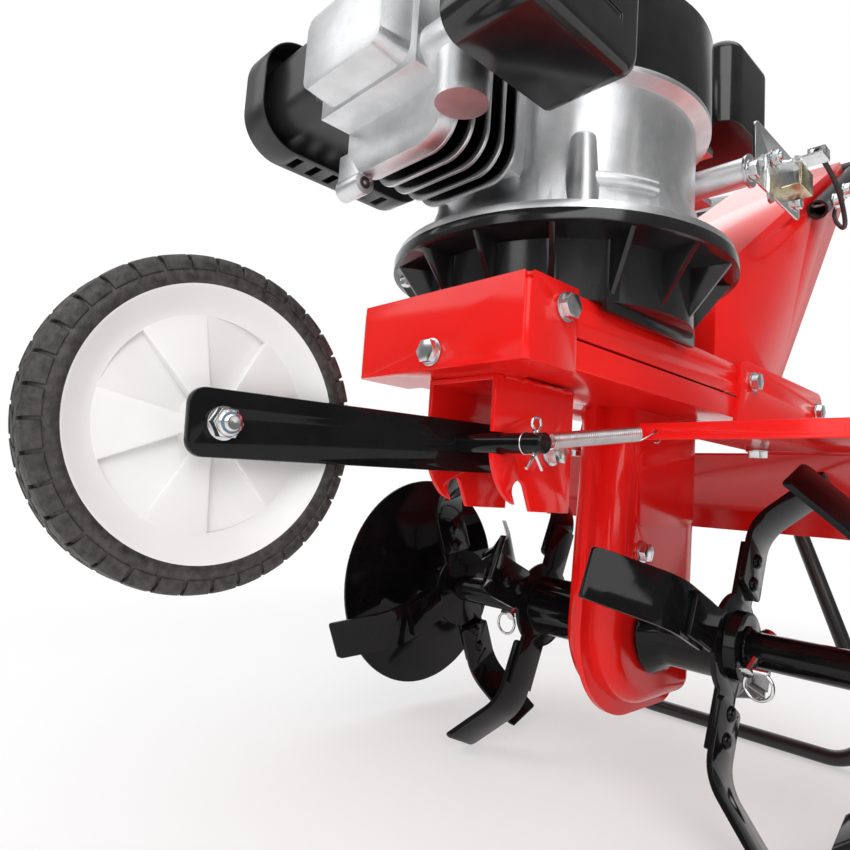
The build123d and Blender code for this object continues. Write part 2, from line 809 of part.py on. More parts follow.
# Latch clip: a split pin with its eye on top and its legs spread below
clip_half = clip_pin / 2 + bolt_gap
eye_radius = clip_pin * 2.2
clip_top = rod_z + rod_diameter / 2 + eye_radius * 2
clip_low = rod_z - rod_diameter / 2 - 2
leg_spread = 9.0
with BuildPart() as latch_clip:
    with BuildLine() as clip_path:
        FilletPolyline(
            (clip_station, rod_y - leg_spread, clip_low - leg_spread),
            (clip_station, rod_y - clip_half, clip_low),
            (clip_station, rod_y - clip_half, rod_z + rod_diameter / 2 + 1),
            (clip_station, rod_y - eye_radius, clip_top - eye_radius),
            (clip_station, rod_y - eye_radius * 0.7, clip_top),
            (clip_station, rod_y + eye_radius * 0.7, clip_top),
            (clip_station, rod_y + eye_radius, clip_top - eye_radius),
            (clip_station, rod_y + clip_half, rod_z + rod_diameter / 2 + 1),
            (clip_station, rod_y + clip_half, clip_low),
            (clip_station, rod_y + leg_spread, clip_low - leg_spread),
            radius=clip_pin * 0.9,
        )
    with BuildSketch(Plane(origin=clip_path.line @ 0, z_dir=clip_path.line % 0)) as clip_section:
        Circle(clip_pin / 2)
    sweep(sections=clip_section.sketch, path=clip_path.line)
save(latch_clip, "latch_clip")

# Latch spring: one tube from a loop round the rod, through the coils, to a hook in the fender lip
loop_radius = rod_diameter / 2 + spring_wire / 2 + bolt_gap
coil_radius = (spring_diameter - spring_wire) / 2
spring_from = Vector(spring_start_x, rod_y, rod_z)
spring_to = Vector(spring_hook_x, fender_front_y, spring_hook_z)
spring_line = (spring_to - spring_from).normalized()
spring_side = spring_line.cross(Vector(0, 0, 1)).normalized()
spring_up = spring_side.cross(spring_line)
coil_length = spring_coils * spring_pitch
spare = (spring_to - spring_from).length - coil_length
coil_from = spring_from + spring_line * (spare * 0.58)
coil_rise = spring_pitch / (2 * pi * coil_radius)
stations = []
for quarter in range(4):
    turn = radians(-20 + quarter * 290 / 3)
    stations.append((
        spring_from + Vector(0, cos(turn), sin(turn)) * loop_radius,
        Vector(0, -sin(turn), cos(turn)),
    ))
for half in range(2 * spring_coils + 1):
    turn = -pi / 2 + half * pi
    outward = spring_side * cos(turn) + spring_up * sin(turn)
    around = spring_up * cos(turn) - spring_side * sin(turn)
    stations.append((
        coil_from + spring_line * (half * spring_pitch / 2) + outward * coil_radius,
        (around + spring_line * coil_rise).normalized(),
    ))
hook_radius = spring_wire * 3.4
hook_middle = spring_to - spring_up * hook_radius
for quarter in range(4):
    turn = radians(90 - quarter * 72)
    stations.append((
        hook_middle + spring_line * (hook_radius * cos(turn)) + spring_up * (hook_radius * sin(turn)),
        spring_line * sin(turn) - spring_up * cos(turn),
    ))


def join_by_arcs(first, second):
    start, start_way = first
    finish, finish_way = second
    gap = finish - start
    ways = start_way + finish_way
    spread = 2 * (1 - start_way.dot(finish_way))
    along = gap.dot(ways)
    if spread < 0.000001:
        reach = gap.dot(gap) / (4 * gap.dot(finish_way))
    else:
        reach = (-along + sqrt(along * along + spread * gap.dot(gap))) / spread
    middle = (start + finish + (start_way - finish_way) * reach) * 0.5
    middle_way = (finish - finish_way * reach) - (start + start_way * reach)
    TangentArc(start, middle, tangent=start_way)
    TangentArc(middle, finish, tangent=middle_way.normalized())


with BuildPart() as latch_spring:
    with BuildLine() as spring_path:
        for first, second in zip(stations, stations[1:]):
            join_by_arcs(first, second)
    with BuildSketch(Plane(origin=stations[0][0], z_dir=stations[0][1])) as wire_section:
        Circle(spring_wire / 2)
    sweep(sections=wire_section.sketch, path=spring_path.wires()[0])
save(latch_spring, "latch_spring")
spring_points = [edge @ (step / 4) for edge in spring_path.edges() for step in range(4)]
spring_gap = min(
    (spring_points[a] - spring_points[b]).length
    for a in range(len(spring_points))
    for b in range(a + 12, min(a + 40, len(spring_points)))
)
print("latch spring: least gap to itself", round(spring_gap - spring_wire, 2), "mm")

# Gear case: two shells bolted on the seam plane, with seats for the bearings
case_ceiling = pan_bottom - case_wall
case_front_y = tine_y - case_top_front
case_rear_y = tine_y + case_top_rear
upper_bearing_z = tine_z + upper_bearing_lift
lower_bearing_z = tine_z - lower_bearing_drop
worm_boss = worm_bearing_diameter + 5
seat_wall = 5.0
tine_bearing_x = case_half_width - case_wall - 1 - tine_bearing_width
heel_y = tine_y + case_heel_rear - case_heel_radius
heel_z = tine_z - case_heel_drop + case_heel_radius
filler_seats = [
    side_plane(s * case_half_width, tine_y - filler_bolt_ahead, tine_z + filler_bolt_lift)
    for s in (1, -1)
]


def case_face(grow, top):
    with BuildSketch(Plane.YZ) as face:
        with BuildLine():
            CenterArc((tine_y, tine_z), case_radius + grow, 0, 360)
            CenterArc((heel_y, heel_z), case_heel_radius + grow, 0, 360)
            Line((case_front_y - grow, top), (case_rear_y + grow, top))
        make_hull()
    return face.sketch


def round_rim(piece, top, radius):
    rim = piece.faces().sort_by(Axis.X)[-1].edges()
    fillet([edge for edge in rim if edge.center().Z < top - 1], radius=radius)


with BuildPart() as case_cavity:
    extrude(case_face(-case_wall, case_ceiling), amount=case_half_width - case_wall)
    round_rim(case_cavity, case_ceiling, case_edge - case_wall)

with BuildPart() as left_gear_case:
    extrude(case_face(0, pan_bottom), amount=case_half_width)
    round_rim(left_gear_case, pan_bottom, case_edge)
    extrude(case_face(case_flange, pan_bottom), amount=case_flange_thickness)
    with BuildSketch(Plane.YZ.offset(case_half_width)):
        with Locations((tine_y + panel_behind, tine_z + panel_lift)):
            RectangleRounded(panel_length, panel_height, panel_corner)
    extrude(amount=panel_rise)
    add(case_cavity.part, mode=Mode.SUBTRACT)
    for bearing_z in (upper_bearing_z, lower_bearing_z):
        with Locations((0, worm_y, bearing_z)):
            Box(case_half_width - case_wall, worm_boss, worm_bearing_width,
                align=(Align.MIN, Align.CENTER, Align.MIN))
    with BuildSketch(Plane.YZ.offset(tine_bearing_x)):
        with Locations((tine_y, tine_z)):
            Circle(tine_bearing_diameter / 2 + seat_wall)
    extrude(amount=case_half_width - case_wall - tine_bearing_x)
    with BuildSketch(Plane.YZ):
        with Locations((tine_y, tine_z)):
            Circle(tine_bearing_diameter / 2)
    extrude(amount=tine_bearing_x + tine_bearing_width, mode=Mode.SUBTRACT)
    with Locations((0, tine_y, tine_z)):
        Cylinder(tine_shaft_diameter / 2 + 1, 4 * case_half_width, rotation=(0, 90, 0),
                 mode=Mode.SUBTRACT)
    for bearing_z in (upper_bearing_z, lower_bearing_z):
        with Locations((0, worm_y, bearing_z)):
            Cylinder(worm_bearing_diameter / 2, worm_bearing_width,
                     align=(Align.CENTER, Align.CENTER, Align.MIN), mode=Mode.SUBTRACT)
    with Locations((0, worm_y, pan_bottom)):
        Cylinder(worm_shaft_diameter / 2 + 1, 4 * case_wall, mode=Mode.SUBTRACT)
    drill(filler_seats[0], half_bolt_hole, 2 * case_wall)
    drill_down(case_bolt_places, pan_bottom, case_wall)
save(left_gear_case, "left_gear_case")

with BuildPart() as right_gear_case:
    mirror(left_gear_case.part, about=Plane.YZ)
save(right_gear_case, "right_gear_case")

# Gear case bearings: two on the tine shaft, two on the worm shaft
with BuildPart() as gear_case_bearings:
    for s in (1, -1):
        with BuildSketch(Plane.YZ.offset(s * tine_bearing_x)):
            with Locations((tine_y, tine_z)):
                Circle(tine_bearing_diameter / 2)
                Circle(tine_shaft_diameter / 2 + running_gap, mode=Mode.SUBTRACT)
        extrude(amount=s * tine_bearing_width)
    for bearing_z in (upper_bearing_z, lower_bearing_z):
        with BuildSketch(Plane.XY.offset(bearing_z)):
            with Locations((0, worm_y)):
                Circle(worm_bearing_diameter / 2)
                Circle(worm_shaft_diameter / 2 + running_gap, mode=Mode.SUBTRACT)
        extrude(amount=worm_bearing_width)
save(gear_case_bearings, "gear_case_bearings")

# Tine shaft and its worm wheel
pin_hole = pin_diameter / 2 + running_gap
pin_seats = [side * pin_station for side in (1, -1)]
pin_forward = cos(radians(pin_turn))
pin_down = sin(radians(pin_turn))


def pin_plane(pin_x, along):
    middle = (pin_x, tine_y - along * pin_forward, tine_z - along * pin_down)
    return Plane(origin=middle, x_dir=(1, 0, 0), z_dir=(0, -pin_forward, -pin_down))


with BuildPart() as tine_shaft:
    with Locations((0, tine_y, tine_z)):
        Cylinder(tine_shaft_diameter / 2, 2 * shaft_end, rotation=(0, 90, 0))
    for pin_x in pin_seats:
        with BuildSketch(pin_plane(pin_x, -tine_shaft_diameter)):
            Circle(pin_hole)
        extrude(amount=2 * tine_shaft_diameter, mode=Mode.SUBTRACT)
save(tine_shaft, "tine_shaft")

tooth_depth = 4.0
tooth_slot = pi * wheel_gear_diameter / wheel_gear_teeth / 2
with BuildPart() as worm_wheel:
    with BuildSketch(Plane.YZ.offset(-wheel_gear_width / 2)):
        with Locations((tine_y, tine_z)):
            Circle(wheel_gear_diameter / 2)
            Circle(tine_shaft_diameter / 2, mode=Mode.SUBTRACT)
            with PolarLocations(wheel_gear_diameter / 2, wheel_gear_teeth):
                Rectangle(2 * tooth_depth, tooth_slot, mode=Mode.SUBTRACT)
    extrude(amount=wheel_gear_width)
save(worm_wheel, "worm_wheel")

# Worm shaft: stands behind the tine shaft and carries the driven pulley on top
pulley_top = pulley_z + pulley_width
worm_core = worm_diameter / 2 - tooth_depth
thread_pitch = 8.0
thread_count = int(worm_length / thread_pitch)
with BuildPart() as worm_shaft:
    with Locations((0, worm_y, lower_bearing_z)):
        Cylinder(worm_shaft_diameter / 2, pulley_top - lower_bearing_z,
                 align=(Align.CENTER, Align.CENTER, Align.MIN))
    with Locations((0, worm_y, tine_z)):
        Cylinder(worm_core, worm_length)
    for turn in range(thread_count):
        with Locations((0, worm_y, tine_z - worm_length / 2 + (turn + 0.5) * thread_pitch)):
            Cylinder(worm_diameter / 2, thread_pitch * 0.45)
save(worm_shaft, "worm_shaft")

# Pulleys: each with one groove for the belt
groove_width = belt_width + 2 * belt_gap
belt_low = pulley_z + (pulley_width - belt_width) / 2
groove_low = belt_low - belt_gap
with BuildPart() as driven_pulley:
    with BuildSketch(Plane.XY.offset(pulley_z)):
        with Locations((0, worm_y)):
            Circle(driven_pulley_diameter / 2)
            Circle(worm_shaft_diameter / 2, mode=Mode.SUBTRACT)
            with PolarLocations(driven_pulley_diameter * 0.25, 5):
                Circle(driven_pulley_diameter * 0.09, mode=Mode.SUBTRACT)
    extrude(amount=pulley_width)
    with BuildSketch(Plane.XY.offset(groove_low)):
        with Locations((0, worm_y)):
            Circle(driven_pulley_diameter)
            Circle(driven_pulley_diameter / 2 - groove_depth, mode=Mode.SUBTRACT)
    extrude(amount=groove_width, mode=Mode.SUBTRACT)
save(driven_pulley, "driven_pulley")

with BuildPart() as engine_pulley:
    with BuildSketch(Plane.XY.offset(pulley_z)):
        with Locations((0, engine_y)):
            Circle(engine_pulley_diameter / 2)
            Circle(crankshaft_diameter / 2, mode=Mode.SUBTRACT)
    extrude(amount=pulley_width)
    with BuildSketch(Plane.XY.offset(groove_low)):
        with Locations((0, engine_y)):
            Circle(engine_pulley_diameter)
            Circle(engine_pulley_diameter / 2 - groove_depth, mode=Mode.SUBTRACT)
    extrude(amount=groove_width, mode=Mode.SUBTRACT)
save(engine_pulley, "engine_pulley")

# Drive belt: runs round both pulleys in their grooves
belt_small = engine_pulley_diameter / 2 - groove_depth + belt_gap
belt_large = driven_pulley_diameter / 2 - groove_depth + belt_gap
with BuildPart() as drive_belt:
    with BuildSketch(Plane.XY.offset(belt_low)):
        with BuildLine():
            CenterArc((0, engine_y), belt_small + belt_height, 0, 360)
            CenterArc((0, worm_y), belt_large + belt_height, 0, 360)
        make_hull()
    extrude(amount=belt_width)
    with BuildSketch(Plane.XY.offset(belt_low)):
        with BuildLine():
            CenterArc((0, engine_y), belt_small, 0, 360)
            CenterArc((0, worm_y), belt_large, 0, 360)
        make_hull()
    extrude(amount=belt_width, mode=Mode.SUBTRACT)
save(drive_belt, "drive_belt")

# Idler: an arm on the pan's stud and a pulley on the arm's pin
idler_y = tine_y - idler_station
idler_arm_z = pan_floor + bolt_gap
idler_reach = hypot(idler_x - idler_pivot_x, idler_y - idler_pivot_y)
idler_turn = degrees(atan2(idler_y - idler_pivot_y, idler_x - idler_pivot_x))
idler_pulley_z = idler_arm_z + idler_arm_thickness + bolt_gap
with BuildPart() as idler_arm:
    with BuildSketch(Plane.XY.offset(idler_arm_z)):
        with Locations(((idler_x + idler_pivot_x) / 2, (idler_y + idler_pivot_y) / 2)):
            SlotCenterToCenter(idler_reach, idler_arm_width, rotation=idler_turn)
        with Locations((idler_pivot_x, idler_pivot_y)):
            Circle(idler_pin_diameter / 2 + running_gap, mode=Mode.SUBTRACT)
    extrude(amount=idler_arm_thickness)
    with Locations((idler_x, idler_y, idler_arm_z)):
        Cylinder(idler_pin_diameter / 2, pulley_top - idler_arm_z,
                 align=(Align.CENTER, Align.CENTER, Align.MIN))
save(idler_arm, "idler_arm")

with BuildPart() as idler_pulley:
    with BuildSketch(Plane.XY.offset(idler_pulley_z)):
        with Locations((idler_x, idler_y)):
            Circle(idler_diameter / 2)
            Circle(idler_pin_diameter / 2 + running_gap, mode=Mode.SUBTRACT)
    extrude(amount=pulley_top - idler_pulley_z - bolt_gap)
save(idler_pulley, "idler_pulley")

# Tine blades: bent bars, made once for each bend
blade_half = blade_thickness / 2
lean_sin = sin(radians(blade_lean))
lean_cos = cos(radians(blade_lean))
bend_turn = radians(blade_bend_angle)
corner_gain = blade_corner * (lean_sin + lean_cos - 1)
blade_reach = (tine_radius - blade_width / 2 * lean_sin + corner_gain) / lean_cos
bend_end = blade_bend_start + blade_bend_radius * sin(bend_turn)
blade_tip_length = (blade_reach - blade_half - bend_end) / cos(bend_turn)


def bent_blade(side):
    with BuildPart() as piece:
        with BuildSketch(Plane.XZ):
            with BuildLine() as spine:
                Line((side * blade_half, blade_root), (side * blade_half, blade_bend_start))
                bend = JernArc(
                    (side * blade_half, blade_bend_start),
                    (0, 1),
                    blade_bend_radius,
                    -side * blade_bend_angle,
                )
                PolarLine(bend @ 1, blade_tip_length, direction=bend % 1)
                offset(spine.line, amount=blade_half)
            make_face()
        extrude(amount=2 * blade_width, both=True)
        with BuildSketch(Plane.YZ) as outline:
            with BuildLine():
                Polyline(
                    (-blade_width / 2, blade_root + blade_root_slant),
                    (-blade_width / 2, blade_reach),
                    (blade_width / 2, blade_reach),
                    (blade_width / 2, blade_root),
                    close=True,
                )
            make_face()
            fillet(outline.vertices().group_by(Axis.Z)[-1], radius=blade_corner)
        extrude(amount=4 * blade_width, both=True, mode=Mode.INTERSECT)
        for row in (0, 1):
            with BuildSketch(Plane.YZ.offset(side * blade_thickness)):
                with Locations((0, rivet_first + row * rivet_spacing)):
                    Circle(rivet_diameter / 2)
            extrude(amount=side * rivet_height, taper=30)
    return piece.part


blade_out = bent_blade(1)
blade_in = bent_blade(-1)
half_carrier = carrier_thickness / 2
star_turn = 90.0
inner_turn = 180.0 - blade_lean
outer_turn = inner_turn + 1.5 * star_turn
with BuildPart() as left_blades:
    for star_x, first_turn in ((inner_star, inner_turn), (outer_star, outer_turn)):
        for arm in range(4):
            side = 1 if arm % 2 == 0 else -1
            foot = (star_x + side * half_carrier, tine_y, tine_z)
            with Locations(Location(foot, (first_turn + arm * star_turn, 0, 0))):
                add(blade_out if side == 1 else blade_in)
save(left_blades, "left_blades")

with BuildPart() as right_blades:
    mirror(left_blades.part, about=Plane.YZ)
save(right_blades, "right_blades")

# Inner tine hubs: hollow sleeves with a cone guard and a four-armed carrier
hub_bore = tine_shaft_diameter / 2 + running_gap
hub_radius = hub_diameter / 2
hub_end = inner_star + hub_overhang
guard_edge = 3.0
axis_plane = Plane(origin=(0, tine_y, tine_z), x_dir=(1, 0, 0), z_dir=(0, -1, 0))
tine_axis = Axis((0, tine_y, tine_z), (1, 0, 0))


def carrier_face(star_x, first_turn, bore):
    with BuildSketch(Plane.YZ.offset(star_x - half_carrier)) as face:
        with Locations((tine_y, tine_z)):
            Circle(carrier_core / 2)
            for arm in range(2):
                Rectangle(carrier_arm_width, 2 * carrier_arm_reach, rotation=first_turn + arm * star_turn)
        corners = face.vertices().filter_by_position(Axis.X, -hub_end, hub_end)
        inner = [c for c in corners if hypot(c.Y - tine_y, c.Z - tine_z) < carrier_core * 0.6]
        fillet(inner, radius=carrier_corner * 0.4)
        with Locations((tine_y, tine_z)):
            Circle(bore, mode=Mode.SUBTRACT)
    return face.sketch


with BuildPart() as left_inner_tines:
    with BuildSketch(axis_plane):
        with BuildLine():
            Polyline(
                (hub_start, hub_bore),
                (hub_start, guard_diameter / 2),
                (hub_start + guard_edge, guard_diameter / 2),
                (hub_start + guard_length, hub_radius),
                (hub_end, hub_radius),
                (hub_end, hub_bore),
                (hub_end - hub_wall, hub_bore),
                (hub_end - hub_wall, hub_radius - hub_wall),
                (hub_start + hub_wall, hub_radius - hub_wall),
                (hub_start + hub_wall, hub_bore),
                close=True,
            )
        make_face()
    revolve(axis=tine_axis)
    extrude(carrier_face(inner_star, inner_turn, hub_radius - hub_wall / 2), amount=carrier_thickness)
save(left_inner_tines, "left_inner_tines")

with BuildPart() as right_inner_tines:
    mirror(left_inner_tines.part, about=Plane.YZ)
save(right_inner_tines, "right_inner_tines")

# Outer tine tubes: slide over the shaft and are held by the pins
tube_start = hub_end + bolt_gap
with BuildPart() as left_outer_tines:
    with BuildSketch(Plane.YZ.offset(tube_start)):
        with Locations((tine_y, tine_z)):
            Circle(outer_tube_diameter / 2)
            Circle(hub_bore, mode=Mode.SUBTRACT)
    extrude(amount=outer_tube_end - tube_start)
    extrude(carrier_face(outer_star, outer_turn, hub_bore), amount=carrier_thickness)
    with BuildSketch(pin_plane(pin_station, -outer_tube_diameter)):
        Circle(pin_hole)
    extrude(amount=2 * outer_tube_diameter, mode=Mode.SUBTRACT)
save(left_outer_tines, "left_outer_tines")

with BuildPart() as right_outer_tines:
    mirror(left_outer_tines.part, about=Plane.YZ)
save(right_outer_tines, "right_outer_tines")

# Plant discs: dished sheets on the outer ends of the tubes
disc_radius = disc_diameter / 2
boss_depth = 18.0
with BuildPart() as plant_discs:
    with BuildSketch(axis_plane):
        with BuildLine():
            Polyline(
                (outer_tube_end, 0),
                (outer_tube_end, disc_flat / 2),
                (outer_tube_end + disc_dish, disc_radius),
                (outer_tube_end + disc_dish + disc_thickness, disc_radius),
                (outer_tube_end + disc_thickness, disc_flat / 2),
                (outer_tube_end + disc_thickness, 0),
                close=True,
            )
        make_face()
        with BuildLine():
            Polyline(
                (outer_tube_end - boss_depth, 0),
                (outer_tube_end - boss_depth, hub_bore - bolt_gap),
                (outer_tube_end, hub_bore - bolt_gap),
                (outer_tube_end, 0),
                close=True,
            )
        make_face()
    revolve(axis=tine_axis)
    mirror(plant_discs.part, about=Plane.YZ)
save(plant_discs, "plant_discs")

# Hub pins: clevis pins through tube and shaft, each with a linch clip and its ring
pin_head = 7.0
pin_seat = outer_tube_diameter / 2 + bolt_gap
pin_out = outer_tube_diameter / 2 + pin_reach
linch_along = pin_out - linch_diameter
linch_y = tine_y - linch_along * pin_forward
linch_z = tine_z - linch_along * pin_down
with BuildPart() as hub_pins:
    for side in (1, -1):
        pin_x = side * pin_station
        with BuildSketch(pin_plane(pin_x, -pin_seat)):
            Circle(pin_diameter * 0.8)
        extrude(amount=-pin_head)
        with BuildSketch(pin_plane(pin_x, -pin_seat)):
            Circle(pin_diameter / 2)
        extrude(amount=pin_seat + pin_out)
        with Locations((pin_x + side * linch_shift, linch_y, linch_z)):
            Cylinder(linch_diameter / 2, linch_length, rotation=(0, 90, 0))
        with Locations((pin_x + side * ring_shift, linch_y, linch_z - clip_ring / 2)):
            Torus(clip_ring / 2, clip_wire / 2, rotation=(90, 0, 0))
save(hub_pins, "hub_pins")

# Rear stand: a bent tube hinged inside the lug plates
half_stand = stand_tube / 2
stand_foot_y = stand_y - stand_lean
stand_knee_y = stand_y - stand_lean * 0.35
stand_eye_x = half_deck - bolt_gap
with BuildPart() as rear_stand:
    with BuildLine() as stand_path:
        FilletPolyline(
            (stand_half_top, stand_y, stand_z),
            (stand_half_top, stand_knee_y, stand_knee),
            (stand_half_foot, stand_foot_y, half_stand),
            (-stand_half_foot, stand_foot_y, half_stand),
            (-stand_half_top, stand_knee_y, stand_knee),
            (-stand_half_top, stand_y, stand_z),
            radius=stand_bend,
        )
    with BuildSketch(Plane(origin=stand_path.line @ 0, z_dir=stand_path.line % 0)) as stand_section:
        Circle(half_stand)
    sweep(sections=stand_section.sketch, path=stand_path.line)
    for s in (1, -1):
        with BuildSketch(side_plane(s * stand_eye_x, stand_y, stand_z)):
            Circle(stand_eye / 2)
        extrude(amount=-2 * stand_eye_thickness)
        with Locations((s * stand_half_top, stand_y, stand_z)):
            Cylinder(bolt_size / 2 + running_gap, 4 * stand_eye_thickness, rotation=(0, 90, 0),
                     mode=Mode.SUBTRACT)
save(rear_stand, "rear_stand")

# Engine adapter: a ribbed ring between deck and crankcase, with a skirt at each side
rim_low = adapter_top - adapter_rim_thickness
crank_clear = crankshaft_diameter / 2 + running_gap
adapter_floor = 6.0
skirt_low = deck_top - skirt_drop
skirt_x = half_frame + 3
skirt_half_length = 70.0
with BuildPart() as engine_adapter:
    with BuildSketch(Plane.XY.offset(deck_top)):
        with Locations((0, engine_y)):
            Circle(adapter_drum_radius)
    extrude(amount=adapter_height)
    with BuildSketch(Plane.XY.offset(rim_low)):
        with Locations((0, engine_y)):
            Circle(adapter_rim_radius)
    extrude(amount=adapter_rim_thickness)
    with BuildSketch(Plane.XY.offset(deck_top + adapter_floor)):
        with Locations((0, engine_y)):
            Circle(adapter_drum_radius - adapter_wall)
    extrude(amount=adapter_height, mode=Mode.SUBTRACT)
    for k in range(adapter_ribs):
        turn = 2 * pi * (k + 0.5) / adapter_ribs
        outward = (cos(turn), sin(turn), 0)
        sideways = (sin(turn), -cos(turn), 0)
        rib_plane = Plane(origin=(0, engine_y, 0), x_dir=outward, z_dir=sideways)
        with BuildSketch(rib_plane):
            with BuildLine():
                Polyline(
                    (adapter_drum_radius - adapter_wall / 2, deck_top + adapter_floor),
                    (adapter_drum_radius, deck_top + adapter_floor),
                    (adapter_rim_radius - adapter_rib_thickness, rim_low),
                    (adapter_drum_radius - adapter_wall / 2, rim_low),
                    close=True,
                )
            make_face()
        extrude(amount=adapter_rib_thickness / 2, both=True)
    for s in (1, -1):
        with Locations((s * (skirt_x + skirt_thickness / 2), engine_y, skirt_low)):
            Box(skirt_thickness, 2 * skirt_half_length, rim_low - skirt_low,
                align=(Align.CENTER, Align.CENTER, Align.MIN))
    with BuildSketch(Plane.XY.offset(deck_top)):
        with Locations((0, engine_y)):
            Circle(crank_hole / 2)
        with Locations(*deck_bolt_places):
            Circle(engine_bolt_hole)
    extrude(amount=adapter_floor, mode=Mode.SUBTRACT)
    with BuildSketch(Plane.XY.offset(rim_low)):
        with Locations(*engine_bolt_places):
            Circle(engine_bolt_hole)
    extrude(amount=adapter_rim_thickness, mode=Mode.SUBTRACT)
save(engine_adapter, "engine_adapter")

# Crankcase: a hollow casting with a front boss for the cylinder, a raised shelf for the tank
# and a boss tube that carries the control bracket
boss_half = 40.0
boss_depth_in = 60.0
shelf_half = 58.0
shelf_rear_y = tine_y + 40
shelf_thickness = 7.0
tank_front_y = engine_y + blower_radius + 6
tank_base = case_top_z + tank_rise
post_width = 60.0
control_x = control_reach
boss_tube_y = engine_y + boss_tube_behind
boss_tube_z = adapter_top + boss_tube_lift
boss_tube_length = control_x - crankcase_radius * 0.2
filler_x = -141.0
filler_y = engine_y + 51
filler_radius = 15.0
filler_top = adapter_top + 132
filler_bore = 9.0
engine_plane = Plane(origin=(0, engine_y, 0), x_dir=(1, 0, 0), z_dir=(0, -1, 0))
engine_axis = Axis((0, engine_y, 0), (0, 0, 1))
with BuildPart() as crankcase:
    with BuildSketch(engine_plane):
        with BuildLine():
            Polyline(
                (0, adapter_top),
                (case_rim_radius, adapter_top),
                (case_rim_radius, adapter_top + case_rim_thickness),
                (crankcase_radius + 14, adapter_top + case_rim_thickness),
                (crankcase_radius, adapter_top + crankcase_height * 0.4),
                (crankcase_radius, case_top_z - case_rim_thickness),
                (blower_radius, case_top_z - case_rim_thickness * 0.6),
                (blower_radius, case_top_z),
                (0, case_top_z),
                close=True,
            )
        make_face()
    revolve(axis=engine_axis)
    with Locations((0, cylinder_rear_y, cylinder_middle_z)):
        Box(2 * boss_half, boss_depth_in, 2 * boss_half, align=(Align.CENTER, Align.MIN, Align.CENTER))
    with Locations((0, engine_y, case_top_z)):
        Box(2 * shelf_half, shelf_rear_y - engine_y, shelf_thickness,
            align=(Align.CENTER, Align.MIN, Align.MAX))
    with Locations((0, tank_front_y, tank_base)):
        Box(post_width, shelf_rear_y - tank_front_y, tank_rise + shelf_thickness / 2,
            align=(Align.CENTER, Align.MIN, Align.MAX))
        Box(2 * shelf_half, shelf_rear_y - tank_front_y, shelf_thickness,
            align=(Align.CENTER, Align.MIN, Align.MAX))
    with Locations((control_x, boss_tube_y, boss_tube_z)):
        Cylinder(boss_tube_radius, boss_tube_length, rotation=(0, 90, 0),
                 align=(Align.CENTER, Align.CENTER, Align.MAX))
    with Locations((filler_x, filler_y, adapter_top)):
        Cylinder(filler_radius, filler_top - adapter_top, align=(Align.CENTER, Align.CENTER, Align.MIN))
    with BuildSketch(engine_plane):
        with BuildLine():
            Polyline(
                (0, adapter_top + case_rim_thickness),
                (crankcase_radius, adapter_top + case_rim_thickness),
                (crankcase_radius - crankcase_wall, adapter_top + crankcase_height * 0.4),
                (crankcase_radius - crankcase_wall, case_top_z - case_rim_thickness),
                (0, case_top_z - case_rim_thickness),
                close=True,
            )
        make_face()
    revolve(axis=engine_axis, mode=Mode.SUBTRACT)
    with Locations((0, engine_y, adapter_top)):
        Cylinder(crank_clear, 3 * crankcase_height, mode=Mode.SUBTRACT)
    with Locations((0, cylinder_rear_y, cylinder_middle_z)):
        Cylinder(cylinder_core * 0.4, 3 * boss_depth_in, rotation=(90, 0, 0), mode=Mode.SUBTRACT)
    with Locations((filler_x, filler_y, filler_top)):
        Cylinder(filler_bore, 60, mode=Mode.SUBTRACT)
    with BuildSketch(Plane.XY.offset(adapter_top)):
        with Locations(*engine_bolt_places):
            Circle(engine_bolt_hole)
        with Locations((0, engine_y)):
            with PolarLocations(crankcase_radius * 0.55, 6):
                Circle(crankcase_radius * 0.2)
    extrude(amount=case_rim_thickness, mode=Mode.SUBTRACT)
save(crankcase, "crankcase")

# Crankshaft with its flywheel
flywheel_z = case_top_z + 16
crank_low = pulley_z
crank_top = flywheel_z + flywheel_thickness + 14
flywheel_rim = 12.0
flywheel_web = 4.0
blade_count = 14
vane_height = 16.0
with BuildPart() as crankshaft:
    with Locations((0, engine_y, crank_low)):
        Cylinder(crankshaft_diameter / 2, crank_top - crank_low,
                 align=(Align.CENTER, Align.CENTER, Align.MIN))
    with Locations((0, engine_y, flywheel_z)):
        Cylinder(flywheel_radius, flywheel_thickness, align=(Align.CENTER, Align.CENTER, Align.MIN))
    with BuildSketch(Plane.XY.offset(flywheel_z + flywheel_thickness)):
        with Locations((0, engine_y)):
            with PolarLocations(flywheel_radius * 0.72, blade_count):
                Rectangle(flywheel_radius * 0.4, 3, rotation=20)
    extrude(amount=vane_height)
    with BuildSketch(Plane.XY.offset(flywheel_z)):
        with Locations((0, engine_y)):
            Circle(flywheel_radius - flywheel_rim)
            Circle(crankshaft_diameter, mode=Mode.SUBTRACT)
    extrude(amount=flywheel_thickness - flywheel_web, mode=Mode.SUBTRACT)
    with Locations((0, engine_y, adapter_top + crankcase_height / 2)):
        Cylinder(crankcase_radius * 0.35, 14)
save(crankshaft, "crankshaft")

